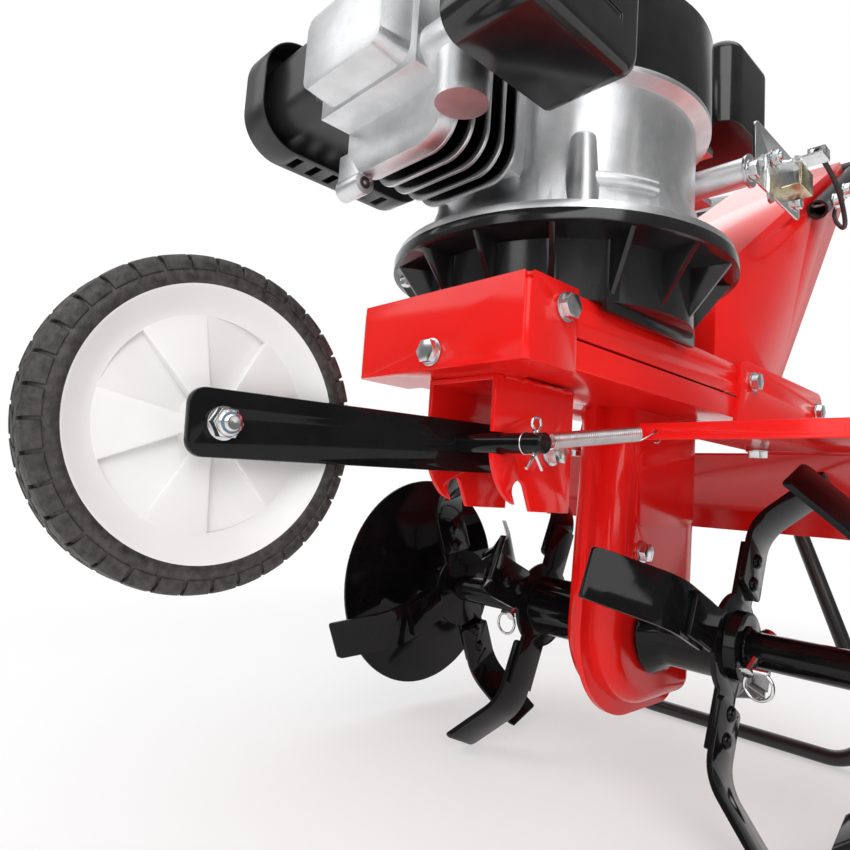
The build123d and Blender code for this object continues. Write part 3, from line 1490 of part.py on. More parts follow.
# Cylinder: a cored barrel with square fins
fin_pitch = (fin_rear_y - cylinder_front_y - fin_thickness) / (fin_count - 1)
with BuildPart() as cylinder:
    with BuildSketch(Plane.XZ.offset(-cylinder_rear_y)):
        with Locations((0, cylinder_middle_z)):
            Circle(cylinder_core / 2)
            Circle(cylinder_core * 0.4, mode=Mode.SUBTRACT)
    extrude(amount=cylinder_rear_y - cylinder_front_y)
    for k in range(fin_count):
        with BuildSketch(Plane.XZ.offset(-(cylinder_front_y + k * fin_pitch + fin_thickness))):
            with Locations((0, cylinder_middle_z)):
                RectangleRounded(cylinder_width, cylinder_height, fin_corner)
                Circle(cylinder_core * 0.4, mode=Mode.SUBTRACT)
        extrude(amount=fin_thickness)
save(cylinder, "cylinder")

# Cylinder head: a plate over the fins with a screw boss, a raised block and a rocker cover in front
head_front_y = cylinder_front_y - head_length
plate_front_y = cylinder_front_y - head_plate
plug_x = 36.0
plug_y = cylinder_front_y - head_length * 0.5
plug_hole = 7.0
head_top = cylinder_middle_z + cylinder_height / 2
block_low = cylinder_middle_z - head_block_lift
block_height = head_top - block_low
boss_y = cylinder_front_y - head_plate / 2
boss_z = cylinder_bottom - 4
boss_middle_x = -cylinder_width / 2 + 3
cover_z = block_low + block_height / 2
with BuildPart() as cylinder_head:
    with BuildSketch(Plane.XZ.offset(-cylinder_front_y)):
        with Locations((0, cylinder_middle_z)):
            RectangleRounded(cylinder_width, cylinder_height, fin_corner)
    extrude(amount=head_plate)
    with Locations((boss_middle_x, boss_y, boss_z)):
        Cylinder(head_boss_radius, head_boss_length, rotation=(0, 90, 0))
        Box(head_boss_length, head_plate, 3 * head_boss_radius,
            align=(Align.CENTER, Align.CENTER, Align.MIN))
    with Locations((0, plate_front_y, block_low)):
        Box(cylinder_width, head_length - head_plate, block_height,
            align=(Align.CENTER, Align.MAX, Align.MIN))
    with BuildSketch(Plane.XZ.offset(-head_front_y)):
        with Locations((0, cover_z)):
            RectangleRounded(rocker_cover_width, block_height * 0.9, fin_corner * 0.5)
    extrude(amount=rocker_cover_length, taper=8)
    with Locations((plug_x, plug_y, head_top)):
        Cylinder(plug_hole + running_gap, 36, mode=Mode.SUBTRACT)
    with Locations((0, cylinder_front_y, cover_z)):
        Box(cylinder_width * 0.4, head_length + rocker_cover_length - 6, block_height * 0.7,
            align=(Align.CENTER, Align.MAX, Align.CENTER), mode=Mode.SUBTRACT)
save(cylinder_head, "cylinder_head")

# Spark plug with its cap and lead stub
plug_depth = 18.0
cap_rise = 30.0
with BuildPart() as spark_plug_cap:
    with Locations((plug_x, plug_y, head_top - plug_depth)):
        Cylinder(plug_hole, plug_depth + 8, align=(Align.CENTER, Align.CENTER, Align.MIN))
    with Locations((plug_x, plug_y, head_top + 4)):
        Cylinder(plug_hole * 1.5, cap_rise, align=(Align.CENTER, Align.CENTER, Align.MIN))
    with Locations((plug_x, plug_y, head_top + cap_rise - 4)):
        Cylinder(plug_hole * 0.9, 30, rotation=(-90, 0, 0), align=(Align.CENTER, Align.CENTER, Align.MIN))
save(spark_plug_cap, "spark_plug_cap")

# Muffler: a rounded can on the head's far side, joined by a flange
muffler_x = -cylinder_width / 2 - muffler_gap
muffler_outer_x = muffler_x - muffler_width
muffler_front_y = head_front_y + 4
muffler_middle_y = muffler_front_y + muffler_length / 2
muffler_z = cylinder_middle_z + muffler_rise
muffler_corner = muffler_height * 0.3
muffler_wall = 1.5
port_z = cylinder_middle_z + port_rise
with BuildPart() as muffler:
    with BuildSketch(Plane.YZ.offset(muffler_outer_x)):
        with Locations((muffler_middle_y, muffler_z)):
            RectangleRounded(muffler_length, muffler_height, muffler_corner)
    extrude(amount=muffler_width)
    with BuildSketch(Plane.YZ.offset(muffler_outer_x + muffler_wall)):
        with Locations((muffler_middle_y, muffler_z)):
            RectangleRounded(
                muffler_length - 2 * muffler_wall,
                muffler_height - 2 * muffler_wall,
                muffler_corner - muffler_wall,
            )
    extrude(amount=muffler_width - 2 * muffler_wall, mode=Mode.SUBTRACT)
    with BuildSketch(Plane.YZ.offset(muffler_x)):
        with Locations((plug_y, port_z)):
            Rectangle(port_flange, port_flange * 1.35)
            Circle(port_radius, mode=Mode.SUBTRACT)
    extrude(amount=muffler_gap)
    with Locations((muffler_x, plug_y, port_z)):
        Cylinder(port_radius, 4 * muffler_wall, rotation=(0, 90, 0), mode=Mode.SUBTRACT)
save(muffler, "muffler")

# Muffler shield: a slotted sheet tray over the muffler's outside, on two pegs
shield_x = muffler_outer_x - shield_gap
shield_front_y = muffler_front_y - shield_margin
shield_middle_y = shield_front_y + shield_length / 2
shield_height = muffler_height + 2 * shield_margin
slot_count = 6
slot_pitch = (shield_length - 2 * shield_corner) / slot_count
shield_peg = 14.0
peg_spread = 30.0
with BuildPart() as muffler_shield:
    with BuildSketch(Plane.YZ.offset(shield_x)):
        with Locations((shield_middle_y, muffler_z)):
            RectangleRounded(shield_length, shield_height, shield_corner)
    extrude(amount=shield_depth)
    with BuildSketch(Plane.YZ.offset(shield_x + shield_sheet)):
        with Locations((shield_middle_y, muffler_z)):
            RectangleRounded(
                shield_length - 2 * shield_sheet,
                shield_height - 2 * shield_sheet,
                shield_corner - shield_sheet,
            )
    extrude(amount=shield_depth, mode=Mode.SUBTRACT)
    for k in range(slot_count):
        slot_y = shield_front_y + shield_corner + (k + 0.5) * slot_pitch
        with Locations((shield_x + shield_depth / 2, slot_y, muffler_z)):
            Box(shield_depth * 0.6, slot_pitch * 0.4, 2 * shield_height, mode=Mode.SUBTRACT)
    for s in (1, -1):
        with Locations((muffler_outer_x, muffler_middle_y + s * peg_spread, muffler_z)):
            Cylinder(shield_peg / 2, shield_gap - shield_sheet / 2, rotation=(0, 90, 0),
                     align=(Align.CENTER, Align.CENTER, Align.MAX))
save(muffler_shield, "muffler_shield")

# Blower housing with the recoil starter dome on top
blower_top = case_top_z + blower_height
vent_count = 12
with BuildPart() as blower_housing:
    with BuildSketch(engine_plane):
        with BuildLine():
            Polyline(
                (blower_radius - blower_wall, case_top_z),
                (blower_radius, case_top_z),
                (blower_radius, blower_top - 12),
                (blower_radius - 14, blower_top),
                (recoil_radius, blower_top),
                (recoil_radius - 10, blower_top + recoil_height),
                (0, blower_top + recoil_height),
                (0, blower_top + recoil_height - blower_wall),
                (recoil_radius - 10 - blower_wall, blower_top + recoil_height - blower_wall),
                (recoil_radius - blower_wall, blower_top - blower_wall),
                (blower_radius - 14 - blower_wall, blower_top - blower_wall),
                (blower_radius - blower_wall, blower_top - 12 - blower_wall),
                close=True,
            )
        make_face()
    revolve(axis=engine_axis)
    with Locations((0, engine_y, blower_top + recoil_height)):
        with PolarLocations(recoil_radius * 0.55, vent_count):
            Box(recoil_radius * 0.4, 8, 4 * blower_wall, mode=Mode.SUBTRACT)
    handle_hole = 5.0
    with Locations((0, engine_y - blower_radius, case_top_z + blower_height * 0.55)):
        Cylinder(handle_hole, 6 * blower_wall, rotation=(90, 0, 0), mode=Mode.SUBTRACT)
save(blower_housing, "blower_housing")

# Starter handle: a grip held against the blower housing
starter_z = case_top_z + blower_height * 0.55
with BuildPart() as starter_handle:
    with Locations((0, engine_y - blower_radius - 12, starter_z)):
        Box(64, 18, 16)
    fillet(starter_handle.edges().filter_by(Axis.X), radius=6)
    with Locations((0, engine_y - blower_radius - 4, starter_z)):
        Cylinder(handle_hole - running_gap, 12, rotation=(90, 0, 0))
save(starter_handle, "starter_handle")

# Fuel tank behind the blower, on the crankcase shelf, with a threaded neck for the cap
tank_wall = 3.0
neck_radius = 20.0
neck_height = 14.0
tank_top = tank_base + tank_height
tank_middle_y = tank_front_y + tank_length / 2
with BuildPart() as fuel_tank:
    with Locations((0, tank_middle_y, tank_base)):
        Box(tank_width, tank_length, tank_height, align=(Align.CENTER, Align.CENTER, Align.MIN))
    fillet(fuel_tank.edges().filter_by(Axis.Z), radius=22)
    fillet(fuel_tank.edges().group_by(Axis.Z)[-1], radius=12)
    with Locations((0, tank_middle_y, tank_top)):
        Cylinder(neck_radius, neck_height, align=(Align.CENTER, Align.CENTER, Align.MIN))
    with Locations((0, tank_middle_y, tank_base + tank_wall)):
        Box(tank_width - 30, tank_length - 30, tank_height - 18,
            align=(Align.CENTER, Align.CENTER, Align.MIN), mode=Mode.SUBTRACT)
    with Locations((0, tank_middle_y, tank_top)):
        Cylinder(neck_radius - tank_wall, 4 * neck_height, mode=Mode.SUBTRACT)
save(fuel_tank, "fuel_tank")

cap_grips = 14
with BuildPart() as fuel_cap:
    with BuildSketch(Plane.XY.offset(tank_top + bolt_gap)):
        with Locations((0, tank_middle_y)):
            Circle(cap_diameter / 2)
            with PolarLocations(cap_diameter / 2, cap_grips):
                Circle(2.5, mode=Mode.SUBTRACT)
    extrude(amount=cap_height)
    with BuildSketch(Plane.XY.offset(tank_top + bolt_gap)):
        with Locations((0, tank_middle_y)):
            Circle(neck_radius + running_gap)
    extrude(amount=neck_height, mode=Mode.SUBTRACT)
save(fuel_cap, "fuel_cap")

# Oil dipstick: a cap over the filler tube with a blade inside
with BuildPart() as oil_dipstick:
    with BuildSketch(Plane.XY.offset(filler_top + bolt_gap)):
        with Locations((filler_x, filler_y)):
            Circle(filler_radius + 3)
            with PolarLocations(filler_radius + 3, 10):
                Circle(2, mode=Mode.SUBTRACT)
    extrude(amount=16)
    with Locations((filler_x, filler_y, filler_top + 6)):
        Cylinder(filler_bore - running_gap, 34, align=(Align.CENTER, Align.CENTER, Align.MAX))
save(oil_dipstick, "oil_dipstick")

# Carburettor on the head's near side and the air filter outside it
carburettor_x = cylinder_width / 2
filter_x = carburettor_x + carburettor_length
throat_radius = 17.0
with BuildPart() as carburettor:
    with BuildSketch(Plane.YZ.offset(carburettor_x)):
        with Locations((plug_y, cylinder_middle_z)):
            Circle(throat_radius)
            Circle(throat_radius * 0.6, mode=Mode.SUBTRACT)
    extrude(amount=carburettor_length)
    bowl_z = cylinder_middle_z - throat_radius + 2
    with Locations((carburettor_x + carburettor_length / 2, plug_y, bowl_z)):
        Cylinder(throat_radius, 30, align=(Align.CENTER, Align.CENTER, Align.MAX))
    with Locations((carburettor_x + carburettor_length / 2, plug_y, cylinder_middle_z)):
        Cylinder(throat_radius * 0.6, 2 * carburettor_length, rotation=(0, 90, 0), mode=Mode.SUBTRACT)
save(carburettor, "carburettor")

filter_front_y = head_front_y - 26
filter_wall = 3.0
filter_low = cylinder_middle_z - filter_drop
with BuildPart() as air_filter:
    with Locations((filter_x, filter_front_y, filter_low)):
        Box(filter_width, filter_length, filter_height, align=Align.MIN)
    fillet(air_filter.edges().filter_by(Axis.X), radius=16)
    fillet(air_filter.faces().sort_by(Axis.X)[-1].edges(), radius=8)
    for k in range(4):
        louvre_z = filter_low + filter_height * 0.25 + k * 16
        with Locations((filter_x + filter_width, filter_front_y + filter_length / 2, louvre_z)):
            Box(4, filter_length * 0.6, 5, mode=Mode.SUBTRACT)
    filter_inset = 3 * filter_wall
    with Locations((filter_x + filter_wall, filter_front_y + filter_inset, filter_low + filter_inset)):
        Box(filter_width - filter_inset, filter_length - 2 * filter_inset, filter_height - 2 * filter_inset,
            align=Align.MIN, mode=Mode.SUBTRACT)
    with Locations((filter_x, plug_y, cylinder_middle_z)):
        Cylinder(throat_radius * 0.6, 4 * filter_wall, rotation=(0, 90, 0), mode=Mode.SUBTRACT)
save(air_filter, "air_filter")

# Control bracket on the crankcase's boss tube with the cable clamp at its rear
control_z = adapter_top + control_lift
control_y = engine_y + control_ahead
control_sheet = 2.5
control_top = control_z + control_height
control_rear_y = control_y + control_length
control_pivot_y = control_y + 34
control_pivot_z = control_z + control_height * 0.55
clamp_width = 16.0
clamp_x = control_x + 22
clamp_block_y = control_rear_y - clamp_width / 2
clamp_hole_z = control_top + 4.5
with BuildPart() as control_bracket:
    with BuildSketch(Plane.YZ.offset(control_x)):
        with Locations((control_y + control_length / 2, control_z + control_height / 2)):
            RectangleRounded(control_length, control_height, 6)
        with Locations((boss_tube_y, boss_tube_z)):
            Circle(boss_tube_radius + 2)
    extrude(amount=control_sheet)
    with Locations((control_x, control_rear_y - 1.5 * clamp_width, control_top - control_sheet)):
        Box(30, clamp_width * 1.5, control_sheet, align=Align.MIN)
    with Locations((clamp_x, clamp_block_y, control_top)):
        Box(clamp_width, clamp_width, 9, align=(Align.CENTER, Align.CENTER, Align.MIN))
    with Locations((clamp_x, clamp_block_y, clamp_hole_z)):
        Cylinder(cable_diameter / 2, 60, rotation=(90, 0, 0), mode=Mode.SUBTRACT)
    with Locations((control_x + control_sheet, control_pivot_y, control_pivot_z)):
        Cylinder(4, 12, rotation=(0, 90, 0), align=(Align.CENTER, Align.CENTER, Align.MIN))
save(control_bracket, "control_bracket")

# Governor lever on the bracket's pivot
lever_reach = 36.0
with BuildPart() as governor_lever:
    with BuildSketch(Plane.YZ.offset(control_x + control_sheet + bolt_gap)):
        with Locations((control_pivot_y, control_pivot_z - lever_reach / 2)):
            SlotCenterToCenter(lever_reach, 14, rotation=90)
        with Locations((control_pivot_y, control_pivot_z)):
            Circle(4 + running_gap, mode=Mode.SUBTRACT)
        with Locations((control_pivot_y, control_pivot_z - lever_reach)):
            Circle(2, mode=Mode.SUBTRACT)
    extrude(amount=2.5)
save(governor_lever, "governor_lever")

# Handlebars: two bent tubes joined by a brace, bolted to the column
bar_z = tine_z + handle_top_lift
bar_end_y = tine_y + handle_reach
grip_cap = 4.0
spread_y = bar_end_y - handle_end_run
bar_wall = 3.0
brace_share = 0.4
brace_x = handle_half_low + (handle_half_wide - handle_half_low) * brace_share
brace_y = handle_knee_y + (spread_y - handle_knee_y) * brace_share
brace_z = handle_knee_z + (bar_z - handle_knee_z) * brace_share
with BuildPart() as handlebars:
    for s in (1, -1):
        with BuildLine() as bar_path:
            FilletPolyline(
                (s * handle_half_low, handle_low_y, handle_low_z),
                (s * handle_half_low, handle_knee_y, handle_knee_z),
                (s * handle_half_wide, spread_y, bar_z),
                (s * handle_half_wide, bar_end_y - grip_cap, bar_z),
                radius=handle_bend,
            )
        with BuildSketch(Plane(origin=bar_path.line @ 0, z_dir=bar_path.line % 0)) as bar_section:
            Circle(handle_tube / 2)
            Circle(handle_tube / 2 - bar_wall, mode=Mode.SUBTRACT)
        sweep(sections=bar_section.sketch, path=bar_path.line)
    with Locations((0, brace_y, brace_z)):
        Cylinder(handle_tube * 0.4, 2 * brace_x - handle_tube / 2, rotation=(0, 90, 0))
    for seat in handle_seats:
        drill(seat, half_bolt_hole, 1.5 * handle_tube)
save(handlebars, "handlebars")

# Hand grips: closed rubber sleeves on the bar ends
with BuildPart() as hand_grips:
    for s in (1, -1):
        with BuildSketch(Plane.XZ.offset(-bar_end_y)):
            with Locations((s * handle_half_wide, bar_z)):
                Circle(grip_diameter / 2)
        extrude(amount=grip_length)
        with BuildSketch(Plane.XZ.offset(-(bar_end_y - grip_cap))):
            with Locations((s * handle_half_wide, bar_z)):
                Circle(handle_tube / 2)
        extrude(amount=grip_length, mode=Mode.SUBTRACT)
        for k in range(6):
            with BuildSketch(Plane.XZ.offset(-(bar_end_y - (k + 1) * grip_length / 7))):
                with Locations((s * handle_half_wide, bar_z)):
                    Circle(grip_diameter)
                    Circle(grip_diameter / 2 - 1, mode=Mode.SUBTRACT)
            extrude(amount=4, mode=Mode.SUBTRACT)
save(hand_grips, "hand_grips")

# Lever clamps: a split ring on each bar, with ears for the clutch lever and a post for the throttle lever
clamp_rear_y = bar_end_y - grip_length - 12
clamp_front_y = clamp_rear_y - lever_clamp_length
clamp_y = (clamp_rear_y + clamp_front_y) / 2
clamp_radius = handle_tube / 2 + 5
cable_drop = handle_tube / 2 + cable_diameter + 2
lever_thickness = 8.0
ear_sheet = 4.0
ear_gap = lever_thickness / 2 + bolt_gap
lever_pivot_z = bar_z - 28
lever_pin = 3.0
lever_length = grip_length + 10
lever_height = 12.0
lever_fall = lever_length * 0.19
throttle_post = 6.0
throttle_x = handle_half_wide - clamp_radius - throttle_post
throttle_reach = 38.0
throttle_lean = 25.0
with BuildPart() as lever_clamps:
    for s in (1, -1):
        with BuildSketch(Plane.XZ.offset(-clamp_rear_y)):
            with Locations((s * handle_half_wide, bar_z)):
                Circle(clamp_radius)
        extrude(amount=lever_clamp_length)
        with Locations((s * handle_half_wide, clamp_front_y, bar_z - cable_drop)):
            Box(10, 8, 10, align=(Align.CENTER, Align.MIN, Align.CENTER))
    for side in (1, -1):
        ear_x = -handle_half_wide + side * (ear_gap + ear_sheet / 2)
        with Locations((ear_x, clamp_y, lever_pivot_z + 3)):
            Box(ear_sheet, 20, 28)
    with Locations((-handle_half_wide, clamp_y, lever_pivot_z)):
        Cylinder(lever_pin, 2 * (ear_gap + ear_sheet) + 4, rotation=(0, 90, 0))
    with Locations((throttle_x, clamp_y, bar_z)):
        Cylinder(8, throttle_post + 4, rotation=(0, 90, 0), align=(Align.CENTER, Align.CENTER, Align.MIN))
    with Locations((throttle_x - 10, clamp_y, bar_z)):
        Cylinder(4, 14, rotation=(0, 90, 0), align=(Align.CENTER, Align.CENTER, Align.MIN))
    for s in (1, -1):
        with BuildSketch(Plane.XZ.offset(-clamp_rear_y)):
            with Locations((s * handle_half_wide, bar_z)):
                Circle(handle_tube / 2)
        extrude(amount=lever_clamp_length, mode=Mode.SUBTRACT)
save(lever_clamps, "lever_clamps")

# Clutch lever under the far bar
lever_span = hypot(lever_length, lever_fall)
lever_angle = -degrees(atan2(lever_fall, lever_length))
with BuildPart() as clutch_lever:
    with BuildSketch(Plane.YZ.offset(-handle_half_wide - lever_thickness / 2)):
        with Locations((clamp_y + lever_length / 2, lever_pivot_z - lever_fall / 2)):
            SlotCenterToCenter(lever_span, lever_height, rotation=lever_angle)
        with Locations((clamp_y, lever_pivot_z)):
            Circle(lever_pin + running_gap, mode=Mode.SUBTRACT)
    extrude(amount=lever_thickness)
save(clutch_lever, "clutch_lever")

# Throttle lever on the near bar's inner side
throttle_turn = radians(90 + throttle_lean)
throttle_sheet = 4.0
throttle_middle_y = clamp_y + throttle_reach / 2 * cos(throttle_turn)
throttle_middle_z = bar_z + throttle_reach / 2 * sin(throttle_turn)
with BuildPart() as throttle_lever:
    with BuildSketch(Plane.YZ.offset(throttle_x - bolt_gap - throttle_sheet)):
        with Locations((throttle_middle_y, throttle_middle_z)):
            SlotCenterToCenter(throttle_reach, 16, rotation=90 + throttle_lean)
        with Locations((clamp_y, bar_z)):
            Circle(4 + running_gap, mode=Mode.SUBTRACT)
    extrude(amount=throttle_sheet)
save(throttle_lever, "throttle_lever")

# Cables: each held along the underside of its bar up to the lever clamp
bar_join = 45.0
bar_join_y = handle_low_y + bar_join
bar_join_z = handle_low_z + bar_join * (handle_knee_z - handle_low_z) / (handle_knee_y - handle_low_y)
clamp_hole_y = control_rear_y
end_run = clamp_front_y - spread_y
wide_step = handle_half_wide - handle_half_low
spread_span = hypot(wide_step, spread_y - handle_knee_y, bar_z - handle_knee_z)
end_turn = acos((spread_y - handle_knee_y) / spread_span)
cable_end_bend = 0.85 * end_run / tan(end_turn / 2)
clutch_run_x = -(column_half_width + half_deck - sheet) / 2
clutch_run_z = seam_z + cable_diameter * 0.7


def cable_along_bar(side, start_points, turns):
    with BuildLine() as route:
        FilletPolyline(
            *start_points,
            (side * handle_half_low, bar_join_y, bar_join_z - cable_drop),
            (side * handle_half_low, handle_knee_y, handle_knee_z - cable_drop),
            (side * handle_half_wide, spread_y, bar_z - cable_drop),
            (side * handle_half_wide, clamp_front_y, bar_z - cable_drop),
            radius=turns,
        )
    return route.line


with BuildPart() as throttle_cable:
    throttle_route = cable_along_bar(1, [
        (clamp_x, clamp_hole_y - 12, clamp_hole_z),
        (clamp_x, clamp_hole_y + 50, clamp_hole_z),
        (clamp_x - 8, clamp_hole_y + 130, clamp_hole_z - 40),
    ], [40, 40, 40, handle_bend, cable_end_bend])
    with BuildSketch(Plane(origin=throttle_route @ 0, z_dir=throttle_route % 0)) as cable_section:
        Circle(cable_diameter / 2)
    sweep(sections=cable_section.sketch, path=throttle_route)
save(throttle_cable, "throttle_cable")

with BuildPart() as clutch_cable:
    clutch_route = cable_along_bar(-1, [
        (clutch_run_x, tine_y - 10, clutch_run_z),
        (clutch_run_x, tine_y + column_rear_foot, clutch_run_z),
    ], [60, 40, handle_bend, cable_end_bend])
    with BuildSketch(Plane(origin=clutch_route @ 0, z_dir=clutch_route % 0)) as clutch_section:
        Circle(cable_diameter / 2)
    sweep(sections=clutch_section.sketch, path=clutch_route)
save(clutch_cable, "clutch_cable")

# Zinc bolts of the frame, the fender, the engine and the handle
stand_grip = lug_face - stand_half_top + half_stand + bolt_gap
with BuildPart() as frame_bolts:
    hex_bolt(front_seat, bolt_size, 4 * sheet, nut=False)
    for seat in box_seats:
        hex_bolt(seat, bolt_size, 2 * sheet)
    for seat in lug_seats:
        hex_bolt(seat, bolt_size, lug_thickness + sheet)
    for seat in stand_seats:
        hex_bolt(seat, bolt_size, stand_grip)
    for seat in fender_seats:
        hex_bolt(seat, bolt_size, fender_sheet + lug_thickness)
    for seat in handle_seats:
        hex_bolt(seat, bolt_size, handle_tube + column_sheet)
    for seat in filler_seats:
        hex_bolt(seat, bolt_size, case_wall, nut=False)
    for x, y in engine_bolt_places:
        hex_bolt(Plane(origin=(x, y, rim_low), z_dir=(0, 0, -1)), engine_bolt_size,
                 adapter_rim_thickness + case_rim_thickness)
    for x, y in deck_bolt_places:
        deck_seat = Plane(origin=(x, y, deck_top - sheet), z_dir=(0, 0, -1))
        hex_bolt(deck_seat, engine_bolt_size, sheet + adapter_floor)
    for x, y in column_bolt_places:
        column_seat = Plane(origin=(x, y, deck_top + column_sheet), z_dir=(0, 0, 1))
        hex_bolt(column_seat, engine_bolt_size, sheet + column_sheet)
    for x, y in case_bolt_places:
        pan_seat = Plane(origin=(x, y, pan_floor), z_dir=(0, 0, 1))
        hex_bolt(pan_seat, engine_bolt_size, sheet + case_wall, nut=False)
save(frame_bolts, "frame_bolts")
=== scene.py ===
import json
import math
import bpy
from mathutils import Matrix, Vector


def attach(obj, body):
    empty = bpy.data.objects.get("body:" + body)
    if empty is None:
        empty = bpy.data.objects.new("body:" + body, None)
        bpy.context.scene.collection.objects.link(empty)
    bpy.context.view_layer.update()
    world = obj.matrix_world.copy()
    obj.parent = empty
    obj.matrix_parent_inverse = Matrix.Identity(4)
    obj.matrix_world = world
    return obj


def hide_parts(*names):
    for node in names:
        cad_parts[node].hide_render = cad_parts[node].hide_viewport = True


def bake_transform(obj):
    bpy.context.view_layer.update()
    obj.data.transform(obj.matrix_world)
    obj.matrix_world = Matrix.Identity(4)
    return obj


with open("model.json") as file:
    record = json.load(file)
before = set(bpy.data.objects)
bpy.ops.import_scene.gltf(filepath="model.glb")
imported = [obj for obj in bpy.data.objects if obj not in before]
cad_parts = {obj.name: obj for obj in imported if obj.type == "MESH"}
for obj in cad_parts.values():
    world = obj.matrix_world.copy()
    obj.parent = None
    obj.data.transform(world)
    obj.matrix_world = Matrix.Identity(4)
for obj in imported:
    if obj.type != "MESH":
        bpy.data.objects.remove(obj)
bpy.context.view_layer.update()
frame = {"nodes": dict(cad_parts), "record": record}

scene = bpy.context.scene
nodes = frame["nodes"]
print("frame loaded", len(nodes), "nodes")

mm = 0.001  # settings are in millimetres and degrees, unless a note says metres
tineY, tineZ = -0.17425, 0.16  # axis of the tines, metres
engineY = tineY - 0.144  # axis of the crankshaft, metres
wheelCentre = (-29.0, -625.75, 309.5)


def clearSelection():
    if bpy.context.mode != "OBJECT":
        bpy.ops.object.mode_set(mode="OBJECT")
    bpy.ops.object.select_all(action="DESELECT")


def pick(piece):
    clearSelection()
    piece.select_set(True)
    bpy.context.view_layer.objects.active = piece


def settle(piece):  # puts the place into the mesh
    pick(piece)
    bpy.ops.object.transform_apply(location=True, rotation=True, scale=True)


def applyModifiers(piece):
    pick(piece)
    for modifier in list(piece.modifiers):
        bpy.ops.object.modifier_apply(modifier=modifier.name)


def openMesh(piece):  # edit mode with everything selected
    pick(piece)
    bpy.ops.object.mode_set(mode="EDIT")
    bpy.ops.mesh.select_all(action="SELECT")


def closeMesh():
    bpy.ops.object.mode_set(mode="OBJECT")


def selectParts(piece, kind, test):  # leaves edit mode open with what passes the test
    openMesh(piece)
    bpy.ops.mesh.select_mode(type=kind)
    bpy.ops.mesh.select_all(action="DESELECT")
    closeMesh()
    for part in piece.data.vertices if kind == "VERT" else piece.data.polygons:
        part.select = test(part)
    bpy.ops.object.mode_set(mode="EDIT")


def facesUp(face):
    return face.normal.z > 0.9


def smooth(piece, angle):
    pick(piece)
    bpy.ops.object.shade_smooth_by_angle(angle=math.radians(angle))


def bevelEdges(piece, width, segments=2, angle=34):
    edgeRound = piece.modifiers.new("edgeRound", "BEVEL")
    edgeRound.width = width
    edgeRound.segments = segments
    edgeRound.limit_method = "ANGLE"
    edgeRound.angle_limit = math.radians(angle)
    edgeRound.use_clamp_overlap = True
    applyModifiers(piece)


# finishes

noiseSpan = (0.3, 0.7)  # the part of a noise's range that carries the change
cloudDetail, grainDetail = 5, 3


def feed(tree, inlet, value):  # the value is a number or another node's outlet
    if isinstance(value, bpy.types.NodeSocket):
        tree.links.new(value, inlet)
    else:
        inlet.default_value = value


def mathNode(tree, operation, *values):
    node = tree.nodes.new("ShaderNodeMath")
    node.operation = operation
    for inlet, value in zip(node.inputs, values):
        feed(tree, inlet, value)
    return node.outputs["Value"]


def rangeNode(tree, value, start, end, low, high, bend="LINEAR"):
    node = tree.nodes.new("ShaderNodeMapRange")
    node.interpolation_type = bend
    levels = {"Value": value, "From Min": start, "From Max": end, "To Min": low, "To Max": high}
    for name, level in levels.items():
        feed(tree, node.inputs[name], level)
    return node.outputs["Result"]


def startFinish(name):
    finish = bpy.data.materials.new(name)
    finish.use_nodes = True
    tree = finish.node_tree
    shader = tree.nodes["Principled BSDF"]
    place = tree.nodes.new("ShaderNodeTexCoord")
    return finish, tree, shader, place


def grain(tree, place, scale, detail, rough=0.55, stretch=None):
    noise = tree.nodes.new("ShaderNodeTexNoise")
    noise.inputs["Scale"].default_value = scale
    noise.inputs["Detail"].default_value = detail
    noise.inputs["Roughness"].default_value = rough
    if stretch:
        mapping = tree.nodes.new("ShaderNodeMapping")
        mapping.inputs["Scale"].default_value = stretch
        tree.links.new(place.outputs["Object"], mapping.inputs["Vector"])
        tree.links.new(mapping.outputs["Vector"], noise.inputs["Vector"])
    else:
        tree.links.new(place.outputs["Object"], noise.inputs["Vector"])
    return noise


def tint(tree, source, low, high):
    ramp = tree.nodes.new("ShaderNodeValToRGB")
    for element, position, colour in zip(ramp.color_ramp.elements, noiseSpan, (low, high)):
        element.position = position
        element.color = (*colour, 1)
    tree.links.new(source.outputs["Fac"], ramp.inputs["Fac"])
    return ramp


def relief(tree, shader, source, strength, depth):
    bump = tree.nodes.new("ShaderNodeBump")
    bump.inputs["Strength"].default_value = strength
    bump.inputs["Distance"].default_value = depth
    tree.links.new(source.outputs["Fac"], bump.inputs["Height"])
    tree.links.new(bump.outputs["Normal"], shader.inputs["Normal"])


def makeFinish(name, settings):  # colours by a soft cloud, gloss and relief by a fine grain, depth in metres
    finish, tree, shader, place = startFinish(name)
    cloud = grain(tree, place, settings["cloudScale"], cloudDetail)
    fine = grain(tree, place, settings["grainScale"], grainDetail, stretch=settings.get("stretch"))
    colour = tint(tree, cloud, settings["low"], settings["high"])
    tree.links.new(colour.outputs["Color"], shader.inputs["Base Color"])
    gloss = rangeNode(tree, fine.outputs["Fac"], *noiseSpan, *settings["shine"])
    tree.links.new(gloss, shader.inputs["Roughness"])
    relief(tree, shader, fine, settings["relief"], settings["depth"])
    shader.inputs["Metallic"].default_value = settings.get("metal", 0.0)
    shader.inputs["Coat Weight"].default_value = settings.get("coat", 0.0)
    shader.inputs["Coat Roughness"].default_value = settings.get("coatRough", 0.08)
    shader.inputs["Specular IOR Level"].default_value = settings.get("specular", 0.5)
    return finish


